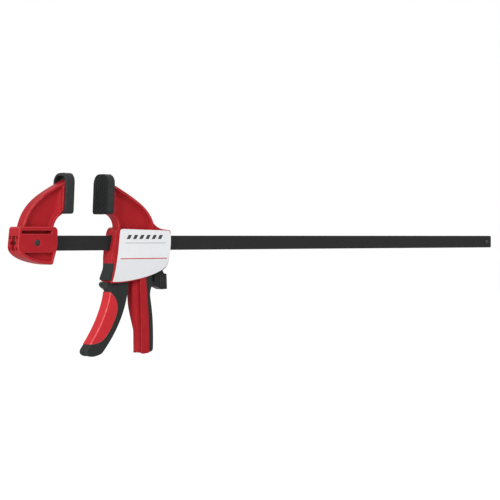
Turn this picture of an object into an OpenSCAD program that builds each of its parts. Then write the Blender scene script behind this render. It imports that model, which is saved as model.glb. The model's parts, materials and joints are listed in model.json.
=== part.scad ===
// One-handed bar clamp: a fixed jaw pinned to a flat steel bar, and a sliding jaw
// with a handle, a squeeze trigger, drive plates, a brake plate and a release lever.
// X runs along the bar, Z is up towards the jaw tips, Y is the thickness.
// The origin is the centre of the fixed pad's clamping face.

/* [Bar] */
// Height of the flat bar
bar_h = 21; // [19:0.5:23]
// Thickness of the flat bar
bar_t = 6; // [4:0.5:7]
// Length of the bar
bar_len = 980; // [400:10:1400]
// How far the bar reaches back behind the fixed clamping face
bar_tail = 85; // [78:0.5:87]
// Corner radius of the bar's ends
bar_corner_r = 2.5; // [1:0.5:4]
// Distance of the stop pin from the bar's free end
stop_inset = 14; // [8:1:30]
// Diameter of the stop pin
stop_d = 6; // [3:0.5:8]
// Length of the stop pin
stop_len = 13; // [9:0.5:18]

/* [Jaws] */
// Rest distance between the two clamping faces
jaw_gap = 52; // [20:1:300]
// Clear height from the bar's top edge to the bottom of the pads
throat = 30; // [26:0.5:40]
// Height of a jaw pad
pad_h = 57; // [50:1:62]
// Width of a jaw pad
pad_w = 36; // [32:1:44]
// Thickness of a jaw pad, lip included
pad_t = 16; // [14:0.5:20]
// Rubber in front of the foot plate
pad_face_t = 6; // [4:0.5:7]
// Corner radius at the top of a pad
pad_top_r = 11; // [6:0.5:14]
// Corner radius at the bottom of a pad
pad_bottom_r = 4; // [3:0.5:8]
// Width of the tread grooves
tread_w = 1.4; // [0.8:0.1:2]
// Depth of the tread grooves
tread_depth = 1; // [0.4:0.1:2]
// Spacing of the tread grooves across the pad
tread_pitch_y = 8; // [7:0.5:10]
// Spacing of the tread grooves up the pad
tread_pitch_z = 11; // [9:0.5:13]
// Thickness of the foot plate that carries a pad
foot_t = 6; // [4:0.5:7]
// Rubber around the edge of the foot plate
foot_margin = 4; // [3:0.5:6]
// Width of the arms' rims
rim_w = 17; // [15:0.5:20]
// Thickness of the arms' rims
rim_t = 3.5; // [2.5:0.5:5]
// Thickness of the arms' web
web_t = 6; // [4:0.5:9]

/* [Fixed jaw] */
// Length of the block along the bar
block_len = 63; // [58:1:66]
// Setback of the block's front from the clamping face
block_setback = 26; // [24:0.5:30]
// Width of the block
block_w = 28; // [26:0.5:32]
// Material above the bar
block_top = 12; // [11:0.5:14]
// Material below the bar
block_drop = 19; // [17:0.5:21]
// Radius of the block's rounded end
block_end_r = 3; // [2:0.5:5]
// Lean of the block's end, from its lower edge to its top
block_lean = 5; // [2:0.5:6]
// Diameter of the cross pin
pin_d = 9; // [6:0.5:10]
// Height of the cross pin above the bar's centre line
pin_rise = 0.5; // [-3:0.5:3]
// Setback of the cross pin from the clamping face
pin_setback = 58; // [54:1:62]
// Depth of the pockets in the block's sides
side_pocket = 7; // [4:0.5:8]
// Depth of the pockets in the block's end
end_pocket = 8; // [5:0.5:8.5]

/* [Sliding housing] */
// Width of the housing over the side cover
housing_w = 26; // [25:0.5:30]
// Length of the housing along the bar
housing_len = 102; // [100:0.5:106]
// Setback of the housing's front from the sliding clamping face
housing_setback = 14.5; // [13:0.5:16]
// Material above the bar
housing_top = 10; // [9:0.5:12]
// Depth of the housing below the bar
housing_drop = 46.5; // [46:0.5:50]
// Wall of the housing
wall_t = 3; // [2.5:0.1:3.4]
// Thickness of the side cover
cover_t = 2.5; // [2:0.1:3]
// Thickness of the label
label_t = 0.3; // [0.2:0.05:0.5]
// Red margin around the label
label_margin = 2.2; // [1.5:0.1:4]
// How far the black finger guard stands out in front
guard_t = 6.5; // [4:0.5:8]
// Height of the finger guard
guard_h = 27; // [22:0.5:28]

/* [Handle] */
// Width of the handle
handle_w = 25; // [24:0.5:26]
// Width of the nose down the handle's front
nose_w = 19; // [14:0.5:21]
// How far the nose stands out at the handle's lower end
nose_out = 5; // [3:0.5:7]
// Share of the housing's length in front of the seam down the handle's back
handle_share = 0.608; // [0.595:0.001:0.62]
// How far the handle reaches below the bar's centre line
handle_reach = 159; // [145:1:175]
// Depth of the handle's wide red part at its lower end
handle_depth = 10.5; // [9.5:0.5:13]
// Thickness of the rubber strip down the back
grip_t = 10.5; // [7:0.5:12]

/* [Trigger] */
// Width of the trigger
trigger_w = 19; // [16:0.5:20]
// How far the trigger reaches below the bar's centre line
trigger_reach = 156; // [142:1:166]
// How far the trigger's toe stands out in front of the housing
trigger_sweep = 41.5; // [37:0.5:45]
// Thickness of the red inlay at the front
inlay_t = 3; // [2:0.25:4]
// Thickness of the red inlay on each side
inlay_side_t = 1.8; // [1:0.1:2.5]
// Diameter of the trigger's pivot pin
pivot_d = 6; // [4:0.5:7]
// Width of the notch between the two lobes at the trigger's tip
tip_notch_w = 5; // [3:0.5:7]

/* [Drive and brake] */
// Thickness of a drive plate
plate_t = 3; // [2:0.25:3.5]
// Width of the drive and brake plates
plate_w = 17; // [14:0.5:18]
// Number of drive plates
plate_count = 2; // [1:1:2]
// Thickness of the brake plate
brake_t = 3.5; // [3:0.25:4]
// Lean of the brake plate when it holds the bar
brake_lean = 2.6; // [1:0.1:2.6]
// Diameter of the release lever's pivot pin
release_pin_d = 4; // [3:0.5:5]
// Width of the release lever
release_w = 16; // [14:0.5:17]
// Outside diameter of the springs
spring_d = 8; // [6:0.5:9]
// Wire of the springs
spring_wire = 1.2; // [0.8:0.1:1.6]
// Turns in a spring
spring_turns = 6; // [4:1:7]

/* [Fasteners] */
// Screw shank diameter
screw_d = 3; // [2.5:0.1:3.5]
// Screw head diameter
screw_head_d = 5.6; // [5:0.1:6]
// Screw head height
screw_head_h = 2; // [1.5:0.1:2.2]

/* [Fits] */
// Clearance around the bar
bar_slack = 0.3; // [0.2:0.05:0.4]
// Clearance of the plates around the bar's edges
plate_slack = 0.3; // [0.3:0.05:0.5]
// Radial clearance of a turning pivot
pivot_slack = 0.05; // [0.02:0.01:0.09]
// Clearance between parts that push each other
push_gap = 0.3; // [0.2:0.05:0.4]
// Clearance between a pad and its foot, and around seated pins
seat_slack = 0.1; // [0.05:0.05:0.2]

/* [Hidden] */
$fn = 48;
eps = 0.01;
// A length that clears the whole clamp, for cuts that go right through
through = 60;

red = "#c9222c";
black = "#2b2f2d";
steel = "#3a3a3c";
bright_steel = "#8a8c8f";
paper = "#e9e9e9";

bar_top = bar_h / 2;
bar_bottom = -bar_top;
pad_bottom = bar_top + throat;
pad_top = pad_bottom + pad_h;
pad_mid = (pad_bottom + pad_top) / 2;
foot_back = pad_face_t + foot_t;
foot_top = pad_top - foot_margin;

// Points and outlines
function unit(v) = v / norm(v);
function arc(c, r, from, to, n = 8) =
    [for (i = [0 : n]) c + r * [cos(from + (to - from) * i / n), sin(from + (to - from) * i / n)]];
// Cubic curve without its last point, so that curves join end to end
function curve(a, b, c, d, n = 14) =
    [for (i = [0 : n - 1]) let (t = i / n, s = 1 - t)
        s * s * s * a + 3 * s * s * t * b + 3 * s * t * t * c + t * t * t * d];
// Moves a counter-clockwise outline inwards
function inset(p, d) =
    let (n = len(p))
    [for (i = [0 : n - 1])
        let (a = unit(p[i] - p[(i + n - 1) % n]),
             b = unit(p[(i + 1) % n] - p[i]),
             na = [-a[1], a[0]],
             nb = [-b[1], b[0]])
        p[i] + (na + nb) * d / (1 + na * nb)];
// All points but the first
function tail(p) = [for (i = [1 : len(p) - 1]) p[i]];
function rounded(w, h, r_top, r_low) = concat(
    arc([w / 2 - r_top, h / 2 - r_top], r_top, 0, 90),
    arc([-w / 2 + r_top, h / 2 - r_top], r_top, 90, 180),
    arc([-w / 2 + r_low, -h / 2 + r_low], r_low, 180, 270),
    arc([w / 2 - r_low, -h / 2 + r_low], r_low, 270, 360));

// Heights are given from the bar's centre line; these set them in the part's frame
module from_bar() { translate([0, 0, -pad_mid]) children(); }
module from_slide() { translate([jaw_gap, 0, -pad_mid]) children(); }
// Spreads an X-Z outline over Y
module slab(y_low, y_high) {
    translate([0, y_high, 0]) rotate([90, 0, 0]) linear_extrude(y_high - y_low) children();
}
// Spreads a Y-Z outline over X
module across(x_low, x_high) {
    translate([x_low, 0, 0]) rotate([90, 0, 90]) linear_extrude(x_high - x_low) children();
}
// Round bar along Y at a point of the X-Z plane
module rod(at, d, y_low, y_high) {
    translate([at[0], y_high, at[1]]) rotate([90, 0, 0]) cylinder(d = d, h = y_high - y_low);
}
// Box between two corners
module box(low, high) { translate(low) cube(high - low); }
// Room for the bar, over a stretch of X
module bar_room(x_low, x_high, slack = bar_slack) {
    box([x_low, -bar_t / 2 - slack, bar_bottom - slack], [x_high, bar_t / 2 + slack, bar_top + slack]);
}
// Coil spring along X: one unbroken tube, ends included
module spring(x_low, x_high, z) {
    rings = 10 * spring_turns;
    sides = 6;
    coil_r = (spring_d - spring_wire) / 2;
    span = x_high - x_low - spring_wire;
    points = [for (i = [0 : rings], k = [0 : sides - 1])
        let (turn = 360 * spring_turns * i / rings,
             way = 360 * k / sides,
             r = coil_r + spring_wire / 2 * cos(way))
        [x_low + spring_wire / 2 * (1 + sin(way)) + span * i / rings, r * cos(turn), z + r * sin(turn)]];
    skin = [for (i = [0 : rings - 1], k = [0 : sides - 1], half = [0, 1])
        let (a = i * sides + k, b = i * sides + (k + 1) % sides)
        half == 0 ? [a, b, b + sides] : [a, b + sides, a + sides]];
    caps = concat(
        [for (k = [1 : sides - 2]) [0, k + 1, k]],
        [for (k = [1 : sides - 2]) [rings * sides, rings * sides + k, rings * sides + k + 1]]);
    polyhedron(points, concat(skin, caps), convexity = 10);
}

// Fixed jaw
block_front = -block_setback;
block_back = block_front - block_len;
block_z_top = bar_top + block_top;
block_z_low = bar_bottom - block_drop;
fixed_pin_at = [-pin_setback, pin_rise];
stop_at = [bar_len - bar_tail - stop_inset, 0];
// Counter-clockwise side view of the block
block_side = concat(
    curve([block_back, bar_bottom + 4], [block_back + 0.5, block_z_low + 8.5],
        [block_back + 23, block_z_low + 1], [block_front - 12, block_z_low]),
    curve([block_front - 12, block_z_low], [block_front - 8, block_z_low],
        [block_front - 7, block_z_low + 1], [block_front - 6.5, block_z_low + 5], 6),
    curve([block_front - 6.5, block_z_low + 5], [block_front - 4.5, bar_bottom - 7],
        [block_front - 0.5, bar_bottom + 3], [block_front, bar_top - 8], 8),
    [[block_front, bar_top - 8]],
    arc([block_front - 6, block_z_top - 6], 6, 0, 90),
    arc([block_back + block_lean + 3, block_z_top - 4], 4, 90, 170, 4));
arm_root = block_z_top - 4;
// Side view of the fixed arm: along the block, up the throat and down the back
fixed_arm = concat(
    [[block_back + 12, arm_root]],
    curve([block_front - 5, arm_root], [block_front - 4, pad_bottom - 8],
        [-foot_back - 10, pad_bottom - 2.5], [-foot_back, pad_bottom]),
    [[-foot_back, pad_bottom]],
    curve([-foot_back, foot_top - 6.5], [block_back + 37, pad_top - 29.5],
        [block_back + 19, bar_top + 48], [block_back + 12, arm_root]));

// Sliding housing, with X measured from the sliding clamping face
housing_front = housing_setback;
housing_back = housing_front + housing_len;
housing_z_top = bar_top + housing_top;
housing_z_low = bar_bottom - housing_drop;
guard_top = housing_z_low + 1 + guard_h;
guard_low = guard_top - guard_h;
nose_back = 2;
corner_r = 5;
y_far = housing_w / 2;
y_near = -y_far;
y_cover = y_near + cover_t;
y_cavity = y_far - cover_t;
brow = [housing_front + 12.7, housing_z_top + 2];
housing_side = concat(
    curve([housing_front - nose_back, housing_z_low], [housing_front + 30.5, housing_z_low],
        [housing_back - 34.5, housing_z_low + 7], [housing_back - 9.5, housing_z_low + 22]),
    curve([housing_back - 9.5, housing_z_low + 22], [housing_back - 4, housing_z_low + 27],
        [housing_back, bar_bottom - 1.5], [housing_back, bar_top - 6]),
    arc([housing_back - corner_r, housing_z_top - corner_r], corner_r, 0, 90),
    curve(brow, brow - [4, 0.5], [housing_front + 5.5, housing_z_top - 2],
        [housing_front + 4.5, bar_top + 2]),
    [[housing_front + 4.5, bar_top + 2], [housing_front + 1, bar_bottom],
        [housing_front, bar_bottom - 10], [housing_front, guard_top]]);
cavity_side = inset(housing_side, wall_t);
// Where the housing's lower front lies at a height
function front_x(z) = housing_front - nose_back * (guard_top - z) / (guard_top - housing_z_low);
guard_side = concat(
    [[front_x(guard_low), guard_low], [front_x(guard_top), guard_top]],
    tail(curve([front_x(guard_top), guard_top], [housing_front - 0.5, guard_top - 10],
        [housing_front - guard_t + 1, guard_top - 14], [housing_front - guard_t - 1, guard_low + 5])),
    [[housing_front - guard_t - 1, guard_low + 5], [housing_front - guard_t + 0.5, guard_low + 1.5]]);
slide_root = housing_z_top - 4;
// Side view of the sliding arm: along the housing, up the back and down the throat
arm_heel = [housing_back - 28, housing_z_top + 6];
slide_arm = concat(
    [[brow[0], slide_root], [housing_back - 26, slide_root]],
    curve(arm_heel, [housing_back - 35, bar_top + 42],
        [housing_back - 66.5, pad_top - 30.5], [foot_back, foot_top - 9]),
    [[foot_back, foot_top - 9]],
    curve([foot_back, pad_bottom], [foot_back + 8, pad_bottom - 2.5],
        [brow[0], pad_bottom - 8], brow),
    [brow]);
// Fillet where the arm's back runs out on the housing
arm_fillet = concat(
    [arm_heel - [rim_t, 0], [arm_heel[0] - rim_t, slide_root], [housing_back - 19, slide_root]],
    curve([housing_back - 19, housing_z_top], [housing_back - 24, housing_z_top],
        [housing_back - 26, housing_z_top + 2], arm_heel, 4),
    [arm_heel]);

// Handle, hanging from the housing
seam_x = housing_front + handle_share * housing_len;
crease_x = seam_x - handle_depth;
handle_root_x = seam_x - 26.5;
handle_low = -handle_reach;
handle_root = housing_z_low + 7;
// Height at a share of the way down from the housing to the handle's end
function down(k) = housing_z_low + k * (handle_low - housing_z_low);
// Seam between the red handle and its rubber strip, from the low end up
seam = curve([seam_x, handle_low], [seam_x + 0.5, down(0.58)], [seam_x - 2, down(0.28)],
    [seam_x - 5.5, handle_root]);
handle_side = concat(
    curve([crease_x, down(0.99)], [seam_x - 8, down(1.008)],
        [seam_x - 4, down(1.012)], [seam_x, handle_low], 4),
    seam,
    [[seam_x - 5.5, handle_root], [crease_x - 4.5, handle_root]],
    curve([crease_x - 4, down(0)], [crease_x - 1.5, down(0.25)],
        [crease_x, down(0.5)], [crease_x, down(0.99)]));
// Nose in front of the wide part, sunk a little into it
nose_side = concat(
    curve([crease_x - nose_out, down(0.97)], [crease_x - nose_out + 2, down(0.99)],
        [crease_x - 1, down(0.995)], [crease_x + 2, down(0.995)], 4),
    [[crease_x + 2, down(0.995)], [crease_x, down(0.25)], [crease_x - 2, handle_root]],
    curve([handle_root_x, handle_root], [handle_root_x, down(0.36)],
        [crease_x - nose_out, down(0.5)], [crease_x - nose_out, down(0.97)]));
grip_root = housing_z_low + 13;
grip_side = concat(
    curve([seam_x, handle_low], [seam_x + 3, handle_low], [seam_x + grip_t, down(0.99)],
        [seam_x + grip_t, down(0.95)], 5),
    curve([seam_x + grip_t, down(0.95)], [seam_x + grip_t + 1, down(0.48)],
        [seam_x + 0.5, down(0.21)], [seam_x + 7, down(0.03)]),
    [[seam_x + 7, down(0.03)], [seam_x + 7, grip_root], [seam_x - 5.5, grip_root]],
    [[seam_x - 5.5, handle_root]],
    [for (i = [len(seam) - 1 : -1 : 1]) seam[i]]);

// Trigger, drive plates and their places
pivot_at = [housing_front + 22.5, bar_bottom - 19];
pivot_boss_r = pivot_d / 2 + 4.5;
boss_w = 14;
plates_x = pivot_at[0] + pivot_boss_r + 1.5;
plates_end = plates_x + plate_count * plate_t + (plate_count - 1) * seat_slack;
nose_r = 4.2;
nose_at = [plates_x - push_gap - nose_r, pivot_at[1] - 11];
plate_low = nose_at[1] - 3;
plate_high = bar_top + 4;
// Height at a share of the way down from the housing to the trigger's tip
function reach(k) = housing_z_low - k * (trigger_reach + housing_z_low);
// Place along the bar at a share of the way out to the trigger's toe
function fore(k) = housing_front - k * trigger_sweep;
trigger_top = [fore(0.06), reach(0.111)];
trigger_toe = [fore(1), reach(0.919)];
trigger_heel = [fore(0.422), reach(1)];
trigger_back = [fore(-0.65), reach(0.091)];
head_front = fore(-0.229);
head_back = fore(-0.68);
trigger_front = curve(trigger_top, [fore(0.072), reach(0.382)], [fore(0.494), reach(0.657)], trigger_toe);
head_top = housing_z_low + 7;
trunk_side = concat(
    trigger_front,
    curve(trigger_toe, [fore(1.193), reach(1.02)], [fore(0.831), reach(1.086)], trigger_heel),
    curve(trigger_heel, [fore(-0.205), reach(0.707)], [fore(-0.554), reach(0.394)], trigger_back),
    [trigger_back, [head_back, head_top], [head_front, head_top]],
    [[fore(-0.157), housing_z_low - 1]]);
lip_r = 2.6;
// Beak at the front of the trigger's head, under the finger guard
lip_side = concat(
    [trigger_top, [head_front, reach(0.111)], [head_front, housing_z_low - 1]],
    arc([fore(0.173), housing_z_low - lip_r], lip_r, 90, 210, 6));
inlay_end = trigger_front[len(trigger_front) - 1];
inlay_side = concat(
    trigger_front,
    tail(curve(inlay_end, [fore(-0.084), reach(0.735)], [fore(-0.434), reach(0.275)], trigger_top)));

// Brake plate, release lever and springs
release_at = [housing_back - 19.5, bar_bottom - 22];
release_boss_r = release_pin_d / 2 + 3;
brake_x = release_at[0] - 5;
anchor_at = [brake_x, bar_top + 2];
brake_low = bar_bottom - 15;
brake_high = bar_top + 4;
finger_r = 3;
finger_z = brake_low + 2;
finger_at = [brake_x - (anchor_at[1] - finger_z) * tan(brake_lean) - push_gap - finger_r, finger_z];
elbow = [finger_at[0] - finger_r, release_at[1] - 3];
elbow_rise = 4;
knob_side = [
    release_at + [-5, -4], release_at + [-7.5, -23], release_at + [-4, -32],
    release_at + [7.5, -35.5], release_at + [15, -34], release_at + [13, -21],
    release_at + [13, -12], release_at + [8, -5]
];
spring_z = bar_bottom - 2 - spring_d / 2;
rib_share = 0.584;
rib_x = housing_front + rib_share * housing_len;
rib_t = 3;
back_wall_x = housing_back - wall_t - 5;
peg_d = spring_d - 2 * spring_wire - 1;
peg_len = 4;

// Screws that hold the side cover, driven from the far side
screw_at = [
    [housing_front + 6.5, bar_bottom - 12], [rib_x - 11, housing_z_low + 17],
    [release_at[0] - 16.5, housing_z_low + 18.5], [seam_x - 8, down(0.31)], [seam_x - 5.8, down(0.91)],
    [housing_front + 20, housing_z_top - 2.5], [housing_back - 16, housing_z_top - 4]
];
post_d = screw_d + 3.2;
boss_d = screw_head_d + 2.4;
post_end = -0.5;
screw_tip = y_cover + 0.5;

// Sub-parts on the bar
module bar() {
    low = [-bar_tail, bar_bottom];
    high = [bar_len - bar_tail, bar_top];
    r = bar_corner_r;
    color(steel) from_bar() difference() {
        slab(-bar_t / 2, bar_t / 2) polygon(concat(
            arc([high[0] - r, high[1] - r], r, 0, 90), arc([low[0] + r, high[1] - r], r, 90, 180),
            arc([low[0] + r, low[1] + r], r, 180, 270), arc([high[0] - r, low[1] + r], r, 270, 360)));
        rod(fixed_pin_at, pin_d + 2 * seat_slack, -through, through);
        rod(stop_at, stop_d + 2 * seat_slack, -through, through);
    }
}
module bar_stop_pin() {
    color(bright_steel) from_bar() rod(stop_at, stop_d, -stop_len / 2, stop_len / 2);
}
module fixed_jaw_pin() {
    color(steel) from_bar() rod(fixed_pin_at, pin_d, -block_w / 2, block_w / 2);
}
// Foot plate at the end of an arm, under its pad; the side is 1 or -1 along X
module foot(side) {
    low = side > 0 ? pad_face_t : -foot_back;
    translate([0, 0, pad_mid]) across(low, low + foot_t)
        polygon(rounded(pad_w - 2 * foot_margin, pad_h - 2 * foot_margin,
            pad_top_r - foot_margin, pad_bottom_r));
}
// Hollow on each side of an arm, which leaves its web
module arm_hollows(side) {
    for (y = [-through, web_t / 2]) slab(y, y + through - web_t / 2) polygon(inset(side, rim_t));
}
module block_pockets() {
    groove = [[block_back + 8, bar_top + 4.2], [block_front - 10, bar_top + 4.2],
        [block_front - 10, block_z_top - 2.5], [block_back + 8, block_z_top - 2.5]];
    hollow = [[block_front - 9, bar_bottom - 1], [block_back + 9, bar_bottom - 1],
        [block_back + 22, block_z_low + 10], [block_front - 13, block_z_low + 5]];
    for (y = [-block_w / 2 - eps, block_w / 2 + eps - side_pocket]) {
        slab(y, y + side_pocket) polygon(groove);
        slab(y, y + side_pocket) polygon(hollow);
    }
    cell_w = (block_w - bar_t) / 2 - 6;
    cell_h = 5.4;
    for (side = [-1, 1], row = [-1 : 1]) {
        y = side * (bar_t / 2 + 2.5 + cell_w / 2);
        z = row * (bar_h / 2 - 1) + 1;
        box([block_back - eps, y - cell_w / 2, z - cell_h / 2],
            [block_back + end_pocket, y + cell_w / 2, z + cell_h / 2]);
    }
}
module fixed_jaw() {
    r = block_end_r;
    plan = concat(
        [[-block_setback, -block_w / 2], [-block_setback, block_w / 2]],
        arc([block_back + r, block_w / 2 - r], r, 90, 180),
        arc([block_back + r, -block_w / 2 + r], r, 180, 270));
    color(red) from_bar() difference() {
        union() {
            difference() {
                slab(-rim_w / 2, rim_w / 2) polygon(fixed_arm);
                arm_hollows(fixed_arm);
            }
            intersection() {
                slab(-block_w / 2, block_w / 2) polygon(block_side);
                translate([0, 0, -through]) linear_extrude(2 * through) polygon(plan);
            }
            foot(-1);
        }
        bar_room(-bar_tail - through, 0, seat_slack);
        rod(fixed_pin_at, pin_d + 2 * seat_slack, -through, through);
        block_pockets();
    }
}
// Rubber cap over a foot plate, with its clamping face at X = 0
module pad(side) {
    back = side > 0 ? 0 : -pad_t;
    face = side > 0 ? tread_depth : 0;
    room_low = side > 0 ? pad_face_t - seat_slack : -foot_back - seat_slack;
    neck_low = side > 0 ? foot_back : -pad_t - eps;
    neck_w = rim_w + 2 * seat_slack;
    foot_h = pad_h - 2 * foot_margin + 2 * seat_slack;
    foot_w = pad_w - 2 * foot_margin + 2 * seat_slack;
    rows = floor((pad_h / 2 - 1) / tread_pitch_z + 0.5);
    columns = floor((pad_w / 2 - 1) / tread_pitch_y + 0.5);
    translate([0, 0, pad_mid]) difference() {
        across(back, back + pad_t) polygon(rounded(pad_w, pad_h, pad_top_r, pad_bottom_r));
        across(room_low, room_low + foot_t + 2 * seat_slack)
            polygon(rounded(foot_w, foot_h, pad_top_r - foot_margin + seat_slack, pad_bottom_r));
        box([neck_low, -neck_w / 2, -pad_h / 2 - eps],
            [neck_low + pad_t - foot_back + eps, neck_w / 2, foot_top - 6 - pad_mid]);
        for (i = [-rows : rows - 1]) {
            z = (i + 0.5) * tread_pitch_z;
            box([face - tread_depth - eps, -pad_w, z - tread_w / 2], [face + eps, pad_w, z + tread_w / 2]);
        }
        for (i = [-columns : columns - 1]) {
            y = (i + 0.5) * tread_pitch_y;
            box([face - tread_depth - eps, y - tread_w / 2, -pad_h], [face + eps, y + tread_w / 2, pad_h]);
        }
    }
}
module fixed_jaw_pad() { color(black) from_bar() pad(-1); }
module sliding_jaw_pad() { color(black) from_slide() pad(1); }

// Sub-parts of the sliding jaw
module screw_cuts() {
    for (at = screw_at) {
        rod(at, screw_d + 2 * seat_slack, -through, through);
        rod(at, screw_head_d + 2 * seat_slack, y_far - screw_head_h, through);
        rod(at, post_d + 2 * seat_slack, -through, post_end + seat_slack);
    }
}
// What stands inside the housing's and the handle's hollows
module inner_walls() {
    box([rib_x, -y_far, housing_z_low], [rib_x + rib_t, y_far, housing_z_top]);
    box([housing_front, -y_far, bar_bottom - 4], [housing_front + 2 * wall_t, y_far, bar_top + 5]);
    box([back_wall_x, -y_far, bar_bottom - 14], [housing_back, y_far, housing_z_top]);
    // Shoulders that hold the brake plate's upper end
    box([brake_x - 4, -y_far, bar_top], [brake_x - push_gap, y_far, housing_z_top]);
    box([brake_x + brake_t + 1, -y_far, bar_top], [brake_x + brake_t + 4, y_far, housing_z_top]);
    // Pegs that centre the springs
    for (x = [rib_x - peg_len, back_wall_x - peg_len]) translate([x, 0, spring_z]) rotate([0, 90, 0])
        cylinder(d = peg_d, h = peg_len + 1);
    for (at = screw_at) rod(at, boss_d, post_end + seat_slack, y_far);
    rod(pivot_at, pivot_d + 4, boss_w / 2 + push_gap, y_far);
    rod(release_at, release_pin_d + 4, release_w / 2 + push_gap, y_far);
}
module sliding_jaw_body() {
    grip_wall = wall_t - 0.2;
    color(red) from_slide() difference() {
        union() {
            difference() {
                slab(-rim_w / 2, rim_w / 2) polygon(slide_arm);
                arm_hollows(slide_arm);
            }
            slab(-rim_w / 2, rim_w / 2) polygon(arm_fillet);
            slab(y_cover, y_far) polygon(housing_side);
            slab(y_cover, handle_w / 2) polygon(handle_side);
            slab(-nose_w / 2, nose_w / 2) polygon(nose_side);
            foot(1);
        }
        difference() {
            union() {
                slab(-through, y_cavity) polygon(cavity_side);
                slab(-through, handle_w / 2 - cover_t) polygon(inset(handle_side, grip_wall));
            }
            inner_walls();
        }
        bar_room(0, housing_back + 1);
        box([housing_front + 1.5, -trigger_w / 2 - 0.5, housing_z_low - 5],
            [handle_root_x - 0.5, trigger_w / 2 + 0.5, head_top + 2]);
        box([release_at[0] - 11, -through, housing_z_low],
            [release_at[0] + 12.5, y_cavity, release_at[1] + 5]);
        rod(pivot_at, pivot_d + 2 * seat_slack, 0, y_far - 1);
        rod(release_at, release_pin_d + 2 * seat_slack, 0, y_far - 1);
        screw_cuts();
    }
}
module side_cover() {
    color(red) from_slide() difference() {
        union() {
            slab(y_near, y_cover) polygon(housing_side);
            slab(-handle_w / 2, y_cover) polygon(handle_side);
            for (at = screw_at) rod(at, post_d, y_cover - eps, post_end);
            rod(pivot_at, pivot_d + 4, y_cover - eps, -boss_w / 2 - push_gap);
            rod(release_at, release_pin_d + 4, y_cover - eps, -release_w / 2 - push_gap);
        }
        for (at = screw_at) rod(at, screw_d + 2 * seat_slack, screw_tip, 0);
        rod(pivot_at, pivot_d + 2 * seat_slack, y_near + 1, 0);
        rod(release_at, release_pin_d + 2 * seat_slack, y_near + 1, 0);
    }
}
module cover_screws() {
    color(bright_steel) from_slide() for (at = screw_at) {
        rod(at, screw_d, screw_tip, y_far - screw_head_h);
        difference() {
            rod(at, screw_head_d, y_far - screw_head_h, y_far - 0.2);
            for (turn = [45, 135]) translate([at[0], y_far, at[1]]) rotate([0, turn, 0])
                cube([screw_head_d * 0.65, screw_head_h, 0.8], center = true);
        }
    }
}
module label() {
    color(paper) from_slide() slab(y_near - label_t, y_near) polygon(inset(housing_side, label_margin));
}
module finger_guard() {
    color(black) from_slide() slab(y_near, y_far) polygon(guard_side);
}
module handle_grip() {
    color(black) from_slide() slab(-handle_w / 2, handle_w / 2) difference() {
        polygon(grip_side);
        polygon(housing_side);
    }
}
module trigger_pivot_pin() {
    color(bright_steel) from_slide() rod(pivot_at, pivot_d, y_near + 1.1, y_far - 1.1);
}
module release_pivot_pin() {
    color(bright_steel) from_slide() rod(release_at, release_pin_d, y_near + 1.1, y_far - 1.1);
}

// Trigger
module trigger_core() {
    intersection() {
        polygon(inset(trunk_side, inlay_t));
        polygon(inlay_side);
    }
}
module trigger_lever() {
    half = trigger_w / 2;
    color(black) from_slide() difference() {
        union() {
            slab(-half, half) difference() {
                union() {
                    polygon(trunk_side);
                    polygon(lip_side);
                }
                polygon(inlay_side);
            }
            slab(-half + inlay_side_t, half - inlay_side_t) trigger_core();
            slab(-boss_w / 2, boss_w / 2) union() {
                translate(pivot_at) circle(r = pivot_boss_r);
                translate(nose_at) circle(r = nose_r);
                polygon([pivot_at, pivot_at - [pivot_boss_r, 0], [head_front + 1, head_top - 2],
                    [head_back - 1, head_top - 2], nose_at + [nose_r - 0.5, -0.5]]);
            }
        }
        rod(pivot_at, pivot_d + 2 * pivot_slack, -through, through);
        box([fore(1.5), -tip_notch_w / 2, reach(1.2)], [fore(0), tip_notch_w / 2, reach(0.975)]);
    }
}
module trigger_inlay() {
    half = trigger_w / 2;
    color(red) from_slide() difference() {
        slab(-half, half) polygon(inlay_side);
        slab(-half + inlay_side_t, half - inlay_side_t) trigger_core();
    }
}

// Plates and springs round the bar
module plate_blank(x, t, low, high, slack) {
    difference() {
        box([x, -plate_w / 2, low], [x + t, plate_w / 2, high]);
        bar_room(x - 1, x + t + 1, slack);
    }
}
module drive_plates() {
    color(steel) from_slide() for (i = [0 : plate_count - 1])
        plate_blank(plates_x + i * (plate_t + seat_slack), plate_t, plate_low, plate_high, plate_slack);
}
module drive_spring() {
    color(bright_steel) from_slide() spring(plates_end + 0.1, rib_x - 0.1, spring_z);
}
module brake_plate() {
    color(steel) from_slide() translate([anchor_at[0], 0, anchor_at[1]]) rotate([0, brake_lean, 0])
        translate([-anchor_at[0], 0, -anchor_at[1]])
            plate_blank(brake_x, brake_t, brake_low, brake_high, plate_slack);
}
module brake_spring() {
    color(bright_steel) from_slide() spring(brake_x + brake_t + 0.1, back_wall_x - 0.1, spring_z);
}
module release_lever() {
    half = release_w / 2;
    color(black) from_slide() difference() {
        slab(-half, half) union() {
            polygon(knob_side);
            translate(release_at) circle(r = release_boss_r);
            translate(finger_at) circle(r = finger_r);
            polygon([elbow, [release_at[0], elbow[1]], release_at + [0, elbow_rise],
                [finger_at[0] + finger_r, release_at[1] + elbow_rise],
                finger_at + [finger_r, 0], finger_at - [finger_r, 0]]);
        }
        rod(release_at, release_pin_d + 2 * pivot_slack, -through, through);
    }
}

bar();
bar_stop_pin();
fixed_jaw();
fixed_jaw_pin();
fixed_jaw_pad();
sliding_jaw_body();
side_cover();
cover_screws();
label();
sliding_jaw_pad();
finger_guard();
handle_grip();
trigger_pivot_pin();
release_pivot_pin();
trigger_lever();
trigger_inlay();
drive_plates();
drive_spring();
brake_plate();
brake_spring();
release_lever();
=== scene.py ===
# %% [markdown]
# # A one-handed bar clamp
# A flat steel bar carries two red plastic jaws. One is pinned to the bar's end. The other slides,
# and holds a handle, a trigger and a release lever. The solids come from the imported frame, so every
# piece made here starts from a place that the frame gives, and only adds form and finish to it.

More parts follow.
